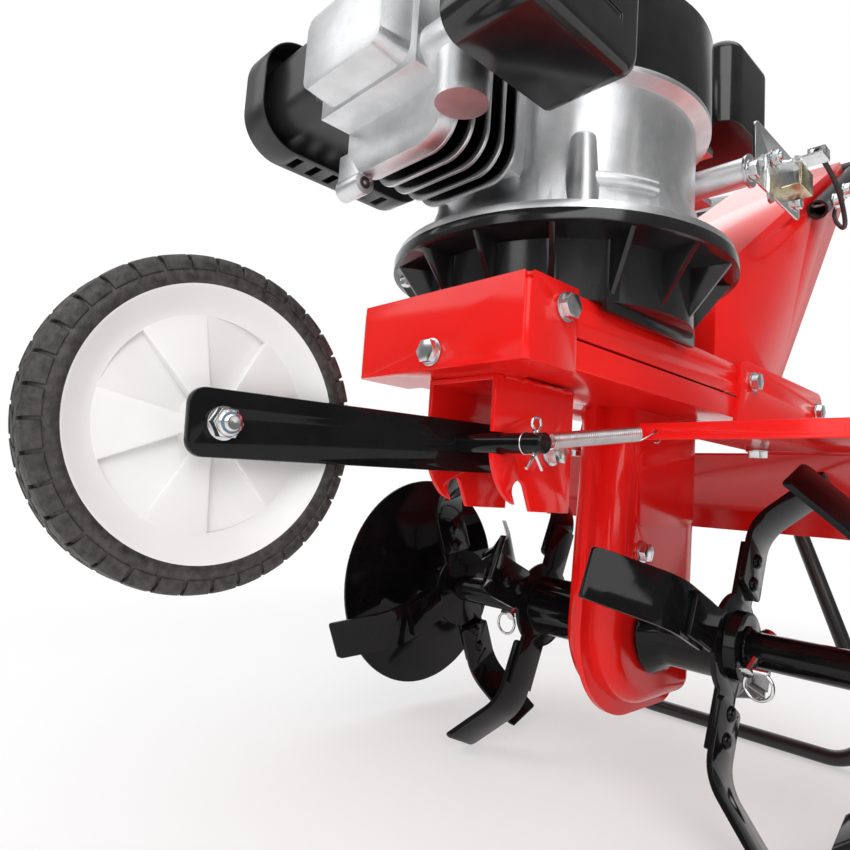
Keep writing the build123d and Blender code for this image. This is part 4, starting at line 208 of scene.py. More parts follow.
redPaint = makeFinish("redPaint", {
    "low": (0.80, 0.010, 0.009), "high": (0.87, 0.016, 0.012), "cloudScale": 9, "grainScale": 380,
    "shine": (0.12, 0.17), "relief": 0.015, "depth": 0.0002, "specular": 0.3})
blackGloss = makeFinish("blackGloss", {
    "low": (0.004, 0.004, 0.0045), "high": (0.008, 0.008, 0.0085), "cloudScale": 24, "grainScale": 240,
    "shine": (0.06, 0.11), "relief": 0.04, "depth": 0.0003, "specular": 0.22})
blackTube = makeFinish("blackTube", {
    "low": (0.010, 0.010, 0.011), "high": (0.022, 0.022, 0.024), "cloudScale": 22, "grainScale": 700,
    "shine": (0.30, 0.42), "relief": 0.06, "depth": 0.0003, "coat": 0.15, "coatRough": 0.2})
zinc = makeFinish("zinc", {
    "low": (0.64, 0.65, 0.66), "high": (0.80, 0.80, 0.80), "cloudScale": 160, "grainScale": 900,
    "shine": (0.15, 0.26), "relief": 0.06, "depth": 0.0002, "metal": 1.0})
machinedSteel = makeFinish("machinedSteel", {
    "low": (0.42, 0.42, 0.43), "high": (0.60, 0.60, 0.61), "cloudScale": 90, "grainScale": 1200,
    "shine": (0.26, 0.42), "relief": 0.06, "depth": 0.0003, "metal": 1.0})
castAlloy = makeFinish("castAlloy", {
    "low": (0.66, 0.67, 0.68), "high": (0.84, 0.84, 0.85), "cloudScale": 45, "grainScale": 1100,
    "shine": (0.30, 0.45), "relief": 0.3, "depth": 0.0005, "metal": 1.0})
blackPlastic = makeFinish("blackPlastic", {
    "low": (0.008, 0.008, 0.009), "high": (0.016, 0.016, 0.017), "cloudScale": 40, "grainScale": 1300,
    "shine": (0.10, 0.17), "relief": 0.06, "depth": 0.0003, "specular": 0.5})
whitePlastic = makeFinish("whitePlastic", {
    "low": (0.80, 0.79, 0.785), "high": (0.85, 0.84, 0.835), "cloudScale": 14, "grainScale": 800,
    "shine": (0.30, 0.38), "relief": 0.02, "depth": 0.0002, "specular": 0.4})
tyreRubber = makeFinish("tyreRubber", {
    "low": (0.012, 0.011, 0.0105), "high": (0.062, 0.057, 0.054), "cloudScale": 210, "grainScale": 520,
    "shine": (0.42, 0.62), "relief": 0.55, "depth": 0.0007})
gripRubber = makeFinish("gripRubber", {
    "low": (0.012, 0.012, 0.013), "high": (0.024, 0.024, 0.025), "cloudScale": 60, "grainScale": 1500,
    "shine": (0.5, 0.7), "relief": 0.25, "depth": 0.0004})
darkSheet = makeFinish("darkSheet", {
    "low": (0.012, 0.012, 0.013), "high": (0.022, 0.022, 0.024), "cloudScale": 40, "grainScale": 900,
    "shine": (0.28, 0.42), "relief": 0.12, "depth": 0.0003})
beltCloth = makeFinish("beltCloth", {
    "low": (0.018, 0.018, 0.018), "high": (0.034, 0.034, 0.033), "cloudScale": 80, "grainScale": 1600,
    "shine": (0.65, 0.8), "relief": 0.4, "depth": 0.0005, "stretch": (1, 1, 4)})
gearBronze = makeFinish("gearBronze", {
    "low": (0.48, 0.30, 0.11), "high": (0.64, 0.43, 0.18), "cloudScale": 90, "grainScale": 900,
    "shine": (0.26, 0.4), "relief": 0.08, "depth": 0.0003, "metal": 1.0})
finAlloy = makeFinish("finAlloy", {
    "low": (0.60, 0.61, 0.62), "high": (0.78, 0.78, 0.79), "cloudScale": 60, "grainScale": 900,
    "shine": (0.32, 0.46), "relief": 0.25, "depth": 0.0004, "metal": 1.0})
yellowZinc = makeFinish("yellowZinc", {
    "low": (0.50, 0.43, 0.24), "high": (0.66, 0.60, 0.40), "cloudScale": 90, "grainScale": 700,
    "shine": (0.18, 0.30), "relief": 0.05, "depth": 0.0002, "metal": 1.0})
nylonBlue = makeFinish("nylonBlue", {
    "low": (0.10, 0.17, 0.24), "high": (0.16, 0.24, 0.32), "cloudScale": 200, "grainScale": 900,
    "shine": (0.35, 0.5), "relief": 0.05, "depth": 0.0002})


# painted shade darkens the gaps between the cylinder's fins, and their outer edges keep the alloy's own
# bright colour, metres

finGapShade = {"middle": (0.0, 0.562), "half": 0.052, "power": 4.0, "start": 0.945, "end": 0.99,
           "shadeColour": (0.02, 0.02, 0.021)}


# paints shade into a finish's colour: dark near the cylinder's middle, the finish's own colour towards the
# fins' outer edges
def darkenInside(finish, s):
    tree = finish.node_tree
    shader = tree.nodes["Principled BSDF"]
    colour = shader.inputs["Base Color"].links[0].from_socket
    place = tree.nodes.new("ShaderNodeTexCoord")
    split = tree.nodes.new("ShaderNodeSeparateXYZ")
    tree.links.new(place.outputs["Object"], split.inputs["Vector"])
    aside = []
    for axis, centre in zip("XZ", s["middle"]):
        offset = mathNode(tree, "SUBTRACT", split.outputs[axis], centre)
        aside.append(mathNode(tree, "POWER", mathNode(tree, "ABSOLUTE", offset), s["power"]))
    # how far out a point lies, on a square with soft corners
    outward = mathNode(tree, "POWER", mathNode(tree, "ADD", *aside), 1 / s["power"])
    edge = rangeNode(tree, outward, s["half"] * s["start"], s["half"] * s["end"], 0.0, 1.0)
    mixed = tree.nodes.new("ShaderNodeMix")
    mixed.data_type = "RGBA"
    tree.links.new(edge, mixed.inputs["Factor"])
    colourSides = {socket.name: socket for socket in mixed.inputs if socket.type == "RGBA"}
    # the dark colour here is painted shade for the gaps between the fins
    colourSides["A"].default_value = (*s["shadeColour"], 1)
    tree.links.new(colour, colourSides["B"])
    outlet = [socket for socket in mixed.outputs if socket.type == "RGBA"][0]
    tree.links.new(outlet, shader.inputs["Base Color"])


darkenInside(finAlloy, finGapShade)
print("finishes ready")

nodeFinish = {
    redPaint: ["front_box", "upper_deck", "belly_pan", "lug_plates", "tine_fender", "handle_column",
               "wheel_bracket", "left_gear_case", "right_gear_case"],
    blackGloss: ["wheel_arm", "latch_rod", "left_inner_tines", "right_inner_tines", "left_outer_tines",
                 "right_outer_tines", "left_blades", "right_blades", "plant_discs"],
    blackTube: ["rear_stand", "handlebars"],
    zinc: ["frame_bolts", "pivot_bolt", "axle_bolt", "latch_clip", "latch_spring", "hub_pins",
           "control_bracket", "governor_lever", "idler_arm"],
    machinedSteel: ["tine_shaft", "worm_shaft", "gear_case_bearings", "idler_pulley", "driven_pulley"],
    finAlloy: ["cylinder"],
    castAlloy: ["crankcase", "cylinder_head", "carburettor", "crankshaft", "engine_pulley"],
    blackPlastic: ["engine_adapter", "blower_housing", "starter_handle", "fuel_tank", "fuel_cap",
                   "air_filter", "oil_dipstick", "lever_clamps", "clutch_lever", "throttle_lever"],
    whitePlastic: ["wheel_rim"],
    tyreRubber: ["tyre"],
    gripRubber: ["hand_grips", "throttle_cable", "clutch_cable", "spark_plug_cap"],
    darkSheet: ["muffler", "muffler_shield"],
    beltCloth: ["drive_belt"],
    gearBronze: ["worm_wheel"],
}
bodyOf = {}
for bodyName, members in frame["record"]["behaviour"]["bodies"].items():
    for member in members:
        bodyOf[member] = bodyName
for finish, members in nodeFinish.items():
    for member in members:
        nodes[member].data.materials.clear()
        nodes[member].data.materials.append(finish)
print("CAD nodes finished")


# edges of the pressed, cast and moulded pieces are rounded on a merged copy

mergeSettings = {"near": 0.000005, "flat": 0.6, "smoothAngle": 32}  # near in metres


def roundedCopy(node, width):
    piece = nodes[node].copy()
    piece.data = nodes[node].data.copy()
    piece.name = node + "Rounded"
    piece.parent = None
    piece.matrix_world = Matrix.Identity(4)
    scene.collection.objects.link(piece)
    openMesh(piece)
    bpy.ops.mesh.remove_doubles(threshold=mergeSettings["near"])
    bpy.ops.mesh.dissolve_limited(angle_limit=math.radians(mergeSettings["flat"]))
    closeMesh()
    bevelEdges(piece, width)
    smooth(piece, mergeSettings["smoothAngle"])
    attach(piece, bodyOf[node])
    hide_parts(node)


edgeWidths = {
    "front_box": 0.9, "upper_deck": 0.7, "belly_pan": 0.7, "lug_plates": 0.9, "tine_fender": 0.5,
    "handle_column": 1.2, "wheel_bracket": 0.9, "left_gear_case": 1.2, "right_gear_case": 1.2,
    "wheel_arm": 1.1, "hub_pins": 0.4, "engine_adapter": 0.8, "crankcase": 1.6, "cylinder": 0.7,
    "cylinder_head": 0.9,
    "left_inner_tines": 0.8, "right_inner_tines": 0.8, "left_outer_tines": 0.8, "right_outer_tines": 0.8,
    "left_blades": 0.8, "right_blades": 0.8, "frame_bolts": 0.5, "pivot_bolt": 0.5, "axle_bolt": 0.5,
    "blower_housing": 1.2, "fuel_tank": 1.0, "muffler_shield": 0.5,
    "lever_clamps": 0.8, "starter_handle": 0.8, "control_bracket": 0.4, "air_filter": 0.8,
}
for node, width in edgeWidths.items():
    roundedCopy(node, width * mm)
print("edges rounded")


def wire(name, points, thickness, fine):  # a round wire through the points, in millimetres
    curve = bpy.data.curves.new(name + "Curve", "CURVE")
    curve.dimensions = "3D"
    curve.bevel_depth = thickness * mm / 2
    curve.bevel_resolution = 3
    curve.use_fill_caps = True
    spline = curve.splines.new("NURBS")
    spline.points.add(len(points) - 1)
    for slotPoint, place in zip(spline.points, points):
        slotPoint.co = (place[0] * mm, place[1] * mm, place[2] * mm, 1)
    spline.order_u = 3
    spline.use_endpoint_u = True
    spline.resolution_u = fine
    piece = bpy.data.objects.new(name, curve)
    scene.collection.objects.link(piece)
    pick(piece)
    bpy.ops.object.convert(target="MESH")
    return bpy.context.object


# latch spring: a loop round the rod, close coils and a hook, drawn as one wire

springShape = {
    "from": (58.0, -425.85, 317.3), "to": (105.0, -329.25, 334.8), "wire": 1.2, "fine": 2,
    "loopRadius": 8.4, "loopStart": -20, "loopTurn": 290, "loopSteps": 11,
    "coilRadius": 5.7, "coils": 42, "pitch": 1.75, "perTurn": 14, "coilsFrom": 0.58,
    "hookRadius": 4.08, "hookSteps": 8, "hookStep": 27, "hookStay": 14, "rodStay": 20}


def buildSpring(s):
    start = Vector(s["from"])
    finish = Vector(s["to"])
    line = (finish - start).normalized()
    side = line.cross(Vector((0, 0, 1))).normalized()
    up = side.cross(line)
    points = []
    for step in range(s["loopSteps"] + 1):
        turn = math.radians(s["loopStart"] + step * s["loopTurn"] / s["loopSteps"])
        points.append(start + Vector((0, math.cos(turn), math.sin(turn))) * s["loopRadius"])
    spare = (finish - start).length - s["coils"] * s["pitch"]
    first = start + line * (spare * s["coilsFrom"])
    for step in range(s["coils"] * s["perTurn"] + 1):
        turn = -math.pi / 2 + step * 2 * math.pi / s["perTurn"]
        out = side * math.cos(turn) + up * math.sin(turn)
        points.append(first + line * (step * s["pitch"] / s["perTurn"]) + out * s["coilRadius"])
    centre = finish - up * s["hookRadius"]
    for step in range(s["hookSteps"] + 1):
        turn = math.radians(90 - step * s["hookStep"])
        points.append(centre + line * (s["hookRadius"] * math.cos(turn))
                      + up * (s["hookRadius"] * math.sin(turn)))
    piece = wire("latchSpringWire", points, s["wire"], s["fine"])
    smooth(piece, 60)
    piece.data.materials.clear()
    piece.data.materials.append(zinc)
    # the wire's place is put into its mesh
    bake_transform(piece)
    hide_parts("latch_spring")


buildSpring(springShape)
print("spring wound")


# turned shapes: an outline of (x, radius) spun round the X axis

weldGap = 0.01


def turned(name, outline, centre, steps, angle=360.0):
    clearSelection()
    bpy.ops.mesh.primitive_circle_add(vertices=len(outline), radius=1.0, location=(0, 0, 0))
    piece = bpy.context.object
    piece.name = name
    for vertex, (x, r) in zip(piece.data.vertices, outline):
        vertex.co = (x * mm, 0, r * mm)
    openMesh(piece)
    bpy.ops.mesh.spin(steps=steps, angle=math.radians(angle), center=(0, 0, 0), axis=(1, 0, 0))
    bpy.ops.mesh.select_all(action="SELECT")
    bpy.ops.mesh.remove_doubles(threshold=weldGap * mm)
    if angle < 360:
        bpy.ops.mesh.select_all(action="SELECT")
        bpy.ops.mesh.fill_holes(sides=0)
    bpy.ops.mesh.select_all(action="SELECT")
    bpy.ops.mesh.normals_make_consistent(inside=False)
    closeMesh()
    if angle < 360:  # the sector's middle is turned to the +Y side
        middle = sum((v.co for v in piece.data.vertices), Vector()) / len(piece.data.vertices)
        piece.rotation_euler.x = -math.atan2(middle.z, middle.y)
    settle(piece)
    piece.location = Vector(centre) * mm
    settle(piece)
    return piece


def lift(piece, test, shift):  # moves the vertices that pass the test
    selectParts(piece, "VERT", lambda vertex: test(vertex.co))
    bpy.ops.transform.translate(value=[v * mm for v in shift])
    closeMesh()


def copies(master, turns, centre):  # own-mesh copies turned about the X axis through the centre
    made = []
    for turn in turns:
        part = master.copy()
        part.data = master.data.copy()
        scene.collection.objects.link(part)
        hub = Matrix.Translation(Vector(centre) * mm)
        part.data.transform(hub @ Matrix.Rotation(math.radians(turn), 4, "X") @ hub.inverted())
        made.append(part)
    bpy.data.objects.remove(master)
    return made


def joined(name, parts):
    clearSelection()
    for part in parts:
        part.select_set(True)
    bpy.context.view_layer.objects.active = parts[0]
    bpy.ops.object.join()
    piece = bpy.context.object
    piece.name = name
    return piece


def dress(piece, finish, body, angle, node=None):
    smooth(piece, angle)
    piece.data.materials.clear()
    piece.data.materials.append(finish)
    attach(piece, body)
    if node:
        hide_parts(node)


def mirrored(outline):
    return outline + [(-x, r) for x, r in reversed(outline)]


# tyre: a ring with plain sidewalls, shoulder blocks and two rows of slanted centre blocks

tyreShape = {
    "centre": wheelCentre, "steps": 120, "blocks": 36, "bevelAngle": 40,
    "ring": [(14.8, 82.0), (15.7, 83.2), (16.0, 85.5), (16.0, 88.2), (15.2, 89.6), (14.2, 93.8), (12.0, 96.2),
             (8.0, 96.9), (1.0, 97.0)],
    "shoulder": [(14.0, 89.4), (16.0, 90.4), (15.5, 94.2), (14.4, 97.0), (12.4, 98.9), (7.6, 99.85),
                 (7.6, 96.8)],
    "shoulderTurn": 8.8, "shoulderSteps": 4, "shoulderBevel": 0.35,
    "rowWidth": 6.2, "rowPlace": 3.9, "rowHeight": 3.2, "rowTop": 99.35, "rowRadius": 99, "rowShare": 0.86,
    "rowPhase": 0.25, "rowBevel": 0.5, "slant": 2.6}


def buildTyre(s):
    ring = turned("tyreRing", mirrored(s["ring"]), s["centre"], s["steps"])
    dress(ring, tyreRubber, "wheel", angle=40, node="tyre")
    pitch = 360 / s["blocks"]
    rowLength = s["rowRadius"] * math.radians(pitch) * s["rowShare"]
    parts = []
    for side, phase in ((1, 0), (-1, 0.5)):
        outline = [(side * x, r) for x, r in s["shoulder"]]
        block = turned("shoulderBlock", outline, s["centre"], s["shoulderSteps"], s["shoulderTurn"])
        bevelEdges(block, s["shoulderBevel"] * mm, segments=1, angle=s["bevelAngle"])
        parts += copies(block, [pitch * (k + phase) for k in range(s["blocks"])], s["centre"])
        clearSelection()
        top = Vector(s["centre"]) + Vector((side * s["rowPlace"], 0, s["rowTop"] - s["rowHeight"] / 2))
        bpy.ops.mesh.primitive_cube_add(size=1, location=top * mm)
        block = bpy.context.object
        block.scale = (s["rowWidth"] * mm, rowLength * mm, s["rowHeight"] * mm)
        settle(block)
        lift(block, lambda place: side * (place.x - top.x * mm) > 0, (0, s["slant"], 0))
        lift(block, lambda place: side * (place.x - top.x * mm) < 0, (0, -s["slant"], 0))
        bevelEdges(block, s["rowBevel"] * mm, segments=1, angle=s["bevelAngle"])
        rowPhase = phase + s["rowPhase"]
        parts += copies(block, [pitch * (k + rowPhase) for k in range(s["blocks"])], s["centre"])
    dress(joined("tyreTread", parts), tyreRubber, "wheel", angle=30)


buildTyre(tyreShape)
print("tyre treaded")

# wheel rim: a dished ring, five raised fans, ramps in the pockets between them and a hub

rimShape = {
    "centre": wheelCentre, "dishSteps": 120, "hubSteps": 64,
    "dish": [(5.0, 64.6), (5.3, 66.6), (7.0, 70.6), (10.2, 75.4), (13.0, 79.4), (14.3, 80.8), (14.8, 82.0)],
    "hub": [(16.5, 6.2), (16.5, 16.6), (15.4, 17.8), (12.0, 18.6), (2.0, 19.0)],
    "fan": [(12.5, 16.5), (10.4, 21.0), (9.0, 27.0), (5.0, 66.0)],
    "fans": 5, "first": 42.0, "fanTurn": 36.0, "fanSteps": 10, "fanBevel": 0.9,
    "ramp": [(1.0, 18.0), (1.0, 65.5)], "rampTurn": 37.0, "rampSteps": 8, "rampLow": 0.4, "rampRise": 0.5,
    "near": 0.02}


def buildRim(s):
    parts = [turned("rimDish", mirrored(s["dish"]), s["centre"], s["dishSteps"]),
             turned("rimHub", mirrored(s["hub"]), s["centre"], s["hubSteps"])]
    fan = turned("rimFan", mirrored(s["fan"]), s["centre"], s["fanSteps"], s["fanTurn"])
    bevelEdges(fan, s["fanBevel"] * mm, segments=3, angle=50)
    pitch = 360 / s["fans"]
    turns = [s["first"] + pitch * k for k in range(s["fans"])]
    parts += copies(fan, turns, s["centre"])
    ramp = turned("rimRamp", mirrored(s["ramp"]), s["centre"], s["rampSteps"], s["rampTurn"])
    middle = Vector(s["centre"]) * mm
    for step in range(s["rampSteps"] + 1):  # the floor climbs from one fan to the next
        turn = math.radians(-s["rampTurn"] / 2 + step * s["rampTurn"] / s["rampSteps"])

        def onFloor(place):
            placeTurn = math.atan2(place.z - middle.z, place.y - middle.y)
            return abs(placeTurn - turn) < s["near"] and place.x > middle.x

        lift(ramp, onFloor, (s["rampLow"] + step * s["rampRise"], 0, 0))
    parts += copies(ramp, [turn + pitch / 2 for turn in turns], s["centre"])
    rim = joined("wheelRimShape", parts)
    dress(rim, whitePlastic, "wheel", angle=32, node="wheel_rim")


buildRim(rimShape)
print("rim moulded")

# axle nut: a rounded collar with its nylon ring and the threaded end of the bolt

nutShape = {
    "place": (0.0, *wheelCentre[1:]), "steps": 48, "threadSteps": 40,
    "collar": [(3.0, 4.9), (3.0, 8.0), (4.4, 8.0), (5.6, 7.4), (6.3, 6.3), (6.3, 4.9)],
    "nylon": [(5.6, 4.7), (5.6, 6.1), (6.6, 6.1), (6.6, 4.7)],
    "thread": [(5.0, 0.4), (5.0, 4.9), (6.6, 4.9), (7.0, 4.3), (7.4, 4.9), (7.8, 4.3), (8.2, 4.9), (8.6, 4.3),
               (9.0, 4.8), (9.6, 4.0), (9.5, 1.8), (9.0, 0.4)]}


def buildNut(s):
    body = bodyOf["axle_bolt"]
    dress(turned("axleCollar", s["collar"], s["place"], s["steps"]), zinc, body, angle=30)
    dress(turned("axleNylon", s["nylon"], s["place"], s["steps"]), nylonBlue, body, angle=30)
    dress(turned("axleThread", s["thread"], s["place"], s["threadSteps"]), zinc, body, angle=30)


buildNut(nutShape)
print("axle nut made")

# rivets: a dome on each end that holds a blade to its carrier

rivetShape = {
    "stars": ((105.0, 157.5), (230.0, 292.5)), "arms": 4, "face": 7.5, "rows": (58.0, 80.0), "steps": 18,
    "dome": [(-0.4, 0.06), (-0.4, 7.1), (0.6, 7.1), (1.9, 6.6), (3.1, 5.5), (4.0, 3.8), (4.4, 1.9),
             (4.5, 0.06)]}


def buildRivets(s):
    master = turned("rivetDome", s["dome"], (0, 0, 0), s["steps"])
    parts = []
    for mirror in (1, -1):
        for starX, firstTurn in s["stars"]:  # place along the shaft and turn of the first arm
            for arm in range(s["arms"]):
                side = 1 if arm % 2 == 0 else -1
                turn = math.radians(firstTurn + 360 / s["arms"] * arm)
                across = mirror * (starX + side * s["face"]) * mm
                heading = Matrix.Identity(4) if mirror * side > 0 else Matrix.Rotation(math.pi, 4, "Z")
                for row in s["rows"]:
                    part = master.copy()
                    part.data = master.data.copy()
                    scene.collection.objects.link(part)
                    place = (across, tineY - row * math.sin(turn) * mm, tineZ + row * math.cos(turn) * mm)
                    part.data.transform(Matrix.Translation(place) @ heading)
                    parts.append(part)
    bpy.data.objects.remove(master)
    dress(joined("bladeRivets", parts), blackGloss, "tines", angle=50)


buildRivets(rivetShape)
print("rivets set")

# screw in the head's corner boss

screwShape = {
    "place": (0, -516.75, 506.0), "steps": 24,
    "outline": [(-36.8, 1.4), (-36.8, 4.6), (-35.4, 4.6), (-34.8, 4.0), (-34.8, 2.4), (-36.2, 1.4)]}
headScrew = turned("headScrew", screwShape["outline"], screwShape["place"], screwShape["steps"])
dress(headScrew, darkSheet, "frame", angle=30)
print("head screw set")

# controls: bolts on the bracket, a folded shelf and its return spring

boltShape = {"headFrom": 1.4, "headBevel": 0.6, "bore": 3.0, "washerRim": 1.2, "washerTop": 1.5,
             "rimShare": 1.25, "topShare": 1.15, "washerSteps": 32}
controlShape = {
    "bolts": ((128.4, -215.25, 582.0, 8.0, 5.6), (132.2, -172.25, 609.9, 7.0, 4.6),
              (128.4, -100.0, 592.0, 6.0, 4.4)),  # x, y, z, radius, height
    "shelf": (137.4, -124.0, 594.0), "shelfSize": (18.0, 34.0, 2.4), "fold": 20.0, "shelfBevel": 0.7,
    "springFrom": (142.0, -140.0, 620.0), "springTurns": 13, "springPitch": 1.6, "springRadius": 3.2,
    "perTurn": 12, "springWire": 0.9, "fine": 2,
    "startTail": ((0, -6, 0), (0, -2, 0)), "endTail": ((-3.2, 3, 0), (-3.2, 9, 4))}


def hexBolt(s, x, y, z, radius, height):
    clearSelection()
    middle = ((x + s["headFrom"] + height / 2) * mm, y * mm, z * mm)
    bpy.ops.mesh.primitive_cylinder_add(vertices=6, radius=radius * mm, depth=height * mm, location=middle,
                                        rotation=(0, math.radians(90), 0))
    head = bpy.context.object
    settle(head)
    bevelEdges(head, s["headBevel"] * mm, segments=2, angle=40)
    rim, top = radius * s["rimShare"], radius * s["topShare"]
    washer = [(x, s["bore"]), (x, rim), (x + s["washerRim"], rim), (x + s["washerTop"], top),
              (x + s["washerTop"], s["bore"])]
    return [head, turned("washer", washer, (0, y, z), s["washerSteps"])]


def buildControls(s):
    parts = []
    for bolt in s["bolts"]:
        parts += hexBolt(boltShape, *bolt)
    dress(joined("controlBolts", parts), zinc, "frame", angle=30)
    clearSelection()
    bpy.ops.mesh.primitive_cube_add(size=1, location=Vector(s["shelf"]) * mm)
    shelf = bpy.context.object
    shelf.scale = Vector(s["shelfSize"]) * mm
    settle(shelf)
    outer = (s["shelf"][0] + s["shelfSize"][0] / 2 - s["shelfSize"][2]) * mm
    openMesh(shelf)
    bpy.ops.mesh.bisect(plane_co=(outer, 0, 0), plane_no=(1, 0, 0))
    closeMesh()
    selectParts(shelf, "FACE", lambda face: facesUp(face) and face.center.x > outer)
    bpy.ops.mesh.extrude_region_move(TRANSFORM_OT_translate={"value": (0, 0, s["fold"] * mm)})
    closeMesh()
    bevelEdges(shelf, s["shelfBevel"] * mm, segments=2, angle=40)
    dress(shelf, yellowZinc, "frame", angle=30)
    start = Vector(s["springFrom"])
    points = [start + Vector(shift) for shift in s["startTail"]]
    for step in range(s["springTurns"] * s["perTurn"] + 1):
        turn = step * 2 * math.pi / s["perTurn"]
        points.append(start + Vector((math.cos(turn) * s["springRadius"],
                                      step * s["springPitch"] / s["perTurn"],
                                      math.sin(turn) * s["springRadius"])))
    points += [points[-1] + Vector(shift) for shift in s["endTail"]]
    dress(wire("controlSpring", points, s["springWire"], s["fine"]), zinc, "frame", angle=60)


buildControls(controlShape)
print("controls detailed")

# weld beads: rough rods along the bracket's seams and rough rings round the tine tubes

beadShape = {
    "seams": (((36.0, -428.0, 367.4), (36.0, -342.0, 367.4)),
              ((-36.0, -428.0, 367.4), (-36.0, -342.0, 367.4))),
    "seamRadius": 2.1, "seamSides": 10, "cuts": 30, "seamRough": 0.9, "seamSeed": 4,
    "ringPlaces": (119.2, -119.2), "ringRadius": 16.6, "ringWire": 2.4, "ringSteps": 40, "ringSides": 8,
    "ringRough": 1.1, "ringSeed": 11}


def roughen(piece, amount, seed):
    openMesh(piece)
    bpy.ops.transform.vertex_random(offset=amount, uniform=0.0, normal=1.0, seed=seed)
    bpy.ops.mesh.vertices_smooth(factor=0.5, repeat=1)
    closeMesh()


def buildBeads(s):
    rods = []
    for start, end in s["seams"]:
        start, end = Vector(start) * mm, Vector(end) * mm
        clearSelection()
        bpy.ops.mesh.primitive_cylinder_add(vertices=s["seamSides"], radius=s["seamRadius"] * mm,
                                            depth=(end - start).length, location=(start + end) / 2,
                                            rotation=(math.radians(90), 0, 0))
        rod = bpy.context.object
        settle(rod)
        for step in range(1, s["cuts"]):
            openMesh(rod)
            bpy.ops.mesh.bisect(plane_co=start.lerp(end, step / s["cuts"]), plane_no=(0, 1, 0))
            closeMesh()
        roughen(rod, s["seamRough"] * mm, s["seamSeed"] + len(rods))
        rods.append(rod)
    dress(joined("bracketBeads", rods), redPaint, "frame", angle=60)
    rings = []
    for x in s["ringPlaces"]:
        clearSelection()
        bpy.ops.mesh.primitive_torus_add(major_radius=s["ringRadius"] * mm, minor_radius=s["ringWire"] * mm,
                                         major_segments=s["ringSteps"], minor_segments=s["ringSides"],
                                         location=(x * mm, tineY, tineZ), rotation=(0, math.radians(90), 0))
        ring = bpy.context.object
        settle(ring)
        roughen(ring, s["ringRough"] * mm, s["ringSeed"])
        rings.append(ring)
    dress(joined("tubeBeads", rings), blackGloss, "tines", angle=60)


buildBeads(beadShape)
print("welds laid")

# crankcase: a pillar and an arched rib on the side towards the wheel

caseShape = {
    "pillarTurn": -47.0, "pillarOut": 116.0, "foot": 486.0, "height": 66.0, "pillarRadius": 15.0,
    "pillarSides": 32, "topShare": 0.62, "lean": 0.97, "pillarBevel": 4.0,
    "archFrom": -18.0, "archTurn": 26.0, "archOut": 119.0, "archHeight": 516.0, "archWire": 6.0,
    "archSides": 16, "archSteps": 20, "archBevel": 3.0}


def aroundCrank(out, turn, height):
    return (out * math.cos(turn) * mm, engineY + out * math.sin(turn) * mm, height * mm)


def buildCaseRelief(s):
    clearSelection()
    place = aroundCrank(s["pillarOut"], math.radians(s["pillarTurn"]), s["foot"] + s["height"] / 2)
    bpy.ops.mesh.primitive_cylinder_add(vertices=s["pillarSides"], radius=s["pillarRadius"] * mm,
                                        depth=s["height"] * mm, location=place)
    pillar = bpy.context.object
    settle(pillar)
    selectParts(pillar, "FACE", facesUp)
    top = (place[0] * s["lean"], engineY + (place[1] - engineY) * s["lean"], 0)
    bpy.ops.transform.resize(value=(s["topShare"], s["topShare"], 1), center_override=top)
    closeMesh()
    bevelEdges(pillar, s["pillarBevel"] * mm, segments=4, angle=40)
    clearSelection()
    start = math.radians(s["archFrom"])
    bpy.ops.mesh.primitive_circle_add(vertices=s["archSides"], radius=s["archWire"] * mm,
                                      rotation=(math.radians(90), 0, start),
                                      location=aroundCrank(s["archOut"], start, s["archHeight"]))
    arch = bpy.context.object
    settle(arch)
    openMesh(arch)
    bpy.ops.mesh.spin(steps=s["archSteps"], angle=math.radians(s["archTurn"]), center=(0, engineY, 0),
                      axis=(0, 0, 1))
    bpy.ops.mesh.select_all(action="SELECT")
    bpy.ops.mesh.fill_holes(sides=0)
    bpy.ops.mesh.select_all(action="SELECT")
    bpy.ops.mesh.normals_make_consistent(inside=False)
    closeMesh()
    bevelEdges(arch, s["archBevel"] * mm, segments=3, angle=60)
    dress(joined("caseRelief", [pillar, arch]), castAlloy, "frame", angle=40)


buildCaseRelief(caseShape)
print("crankcase relief added")

# cables: smooth tubes on the routes of their CAD solids

cableShape = {
    "thickness": 5.0, "fine": 16,
    "runs": (
        ("throttleSheath", "throttle_cable", (
            (148, -100.25, 640.5), (148, -38.25, 640.5), (140, 41.75, 600.5), (87.5, 155.75, 683.6),
            (87.5, 295.75, 780.5), (270, 515.75, 900.5), (270, 564.75, 900.5))),
        ("clutchSheath", "clutch_cable", (
            (-78.5, tineY / mm - 10, 398), (-78.5, tineY / mm + 178, 398), (-87.5, 155.75, 683.6),
            (-87.5, 295.75, 780.5), (-270, 515.75, 900.5), (-270, 564.75, 900.5))))}


def buildCables(s):
    for name, node, points in s["runs"]:
        sheath = wire(name, points, s["thickness"], s["fine"])
        dress(sheath, gripRubber, "frame", angle=60, node=node)


buildCables(cableShape)
print("cables laid")

# camera, light and floor, metres

cameraSettings = {
    "place": (0.34945, -0.62202 + tineY, 0.11935 + tineZ), "yaw": 47.12, "pitch": 5.86, "roll": 3.89,
    "pixels": 850, "focalPixels": 655.28, "downPixels": 2.5, "sensor": 36, "clipStart": 0.01}
yaw, pitch, roll = (math.radians(cameraSettings[key]) for key in ("yaw", "pitch", "roll"))
forward = Vector((-math.cos(pitch) * math.sin(yaw), math.cos(pitch) * math.cos(yaw), math.sin(pitch)))
right = Vector((math.cos(yaw), math.sin(yaw), 0))
up = right.cross(forward)
right, up = (math.cos(roll) * right + math.sin(roll) * up, -math.sin(roll) * right + math.cos(roll) * up)
cameraData = bpy.data.cameras.new("camera")
camera = bpy.data.objects.new("camera", cameraData)
scene.collection.objects.link(camera)
turn = Matrix((right, up, -forward)).transposed()
camera.matrix_world = Matrix.Translation(cameraSettings["place"]) @ turn.to_4x4()
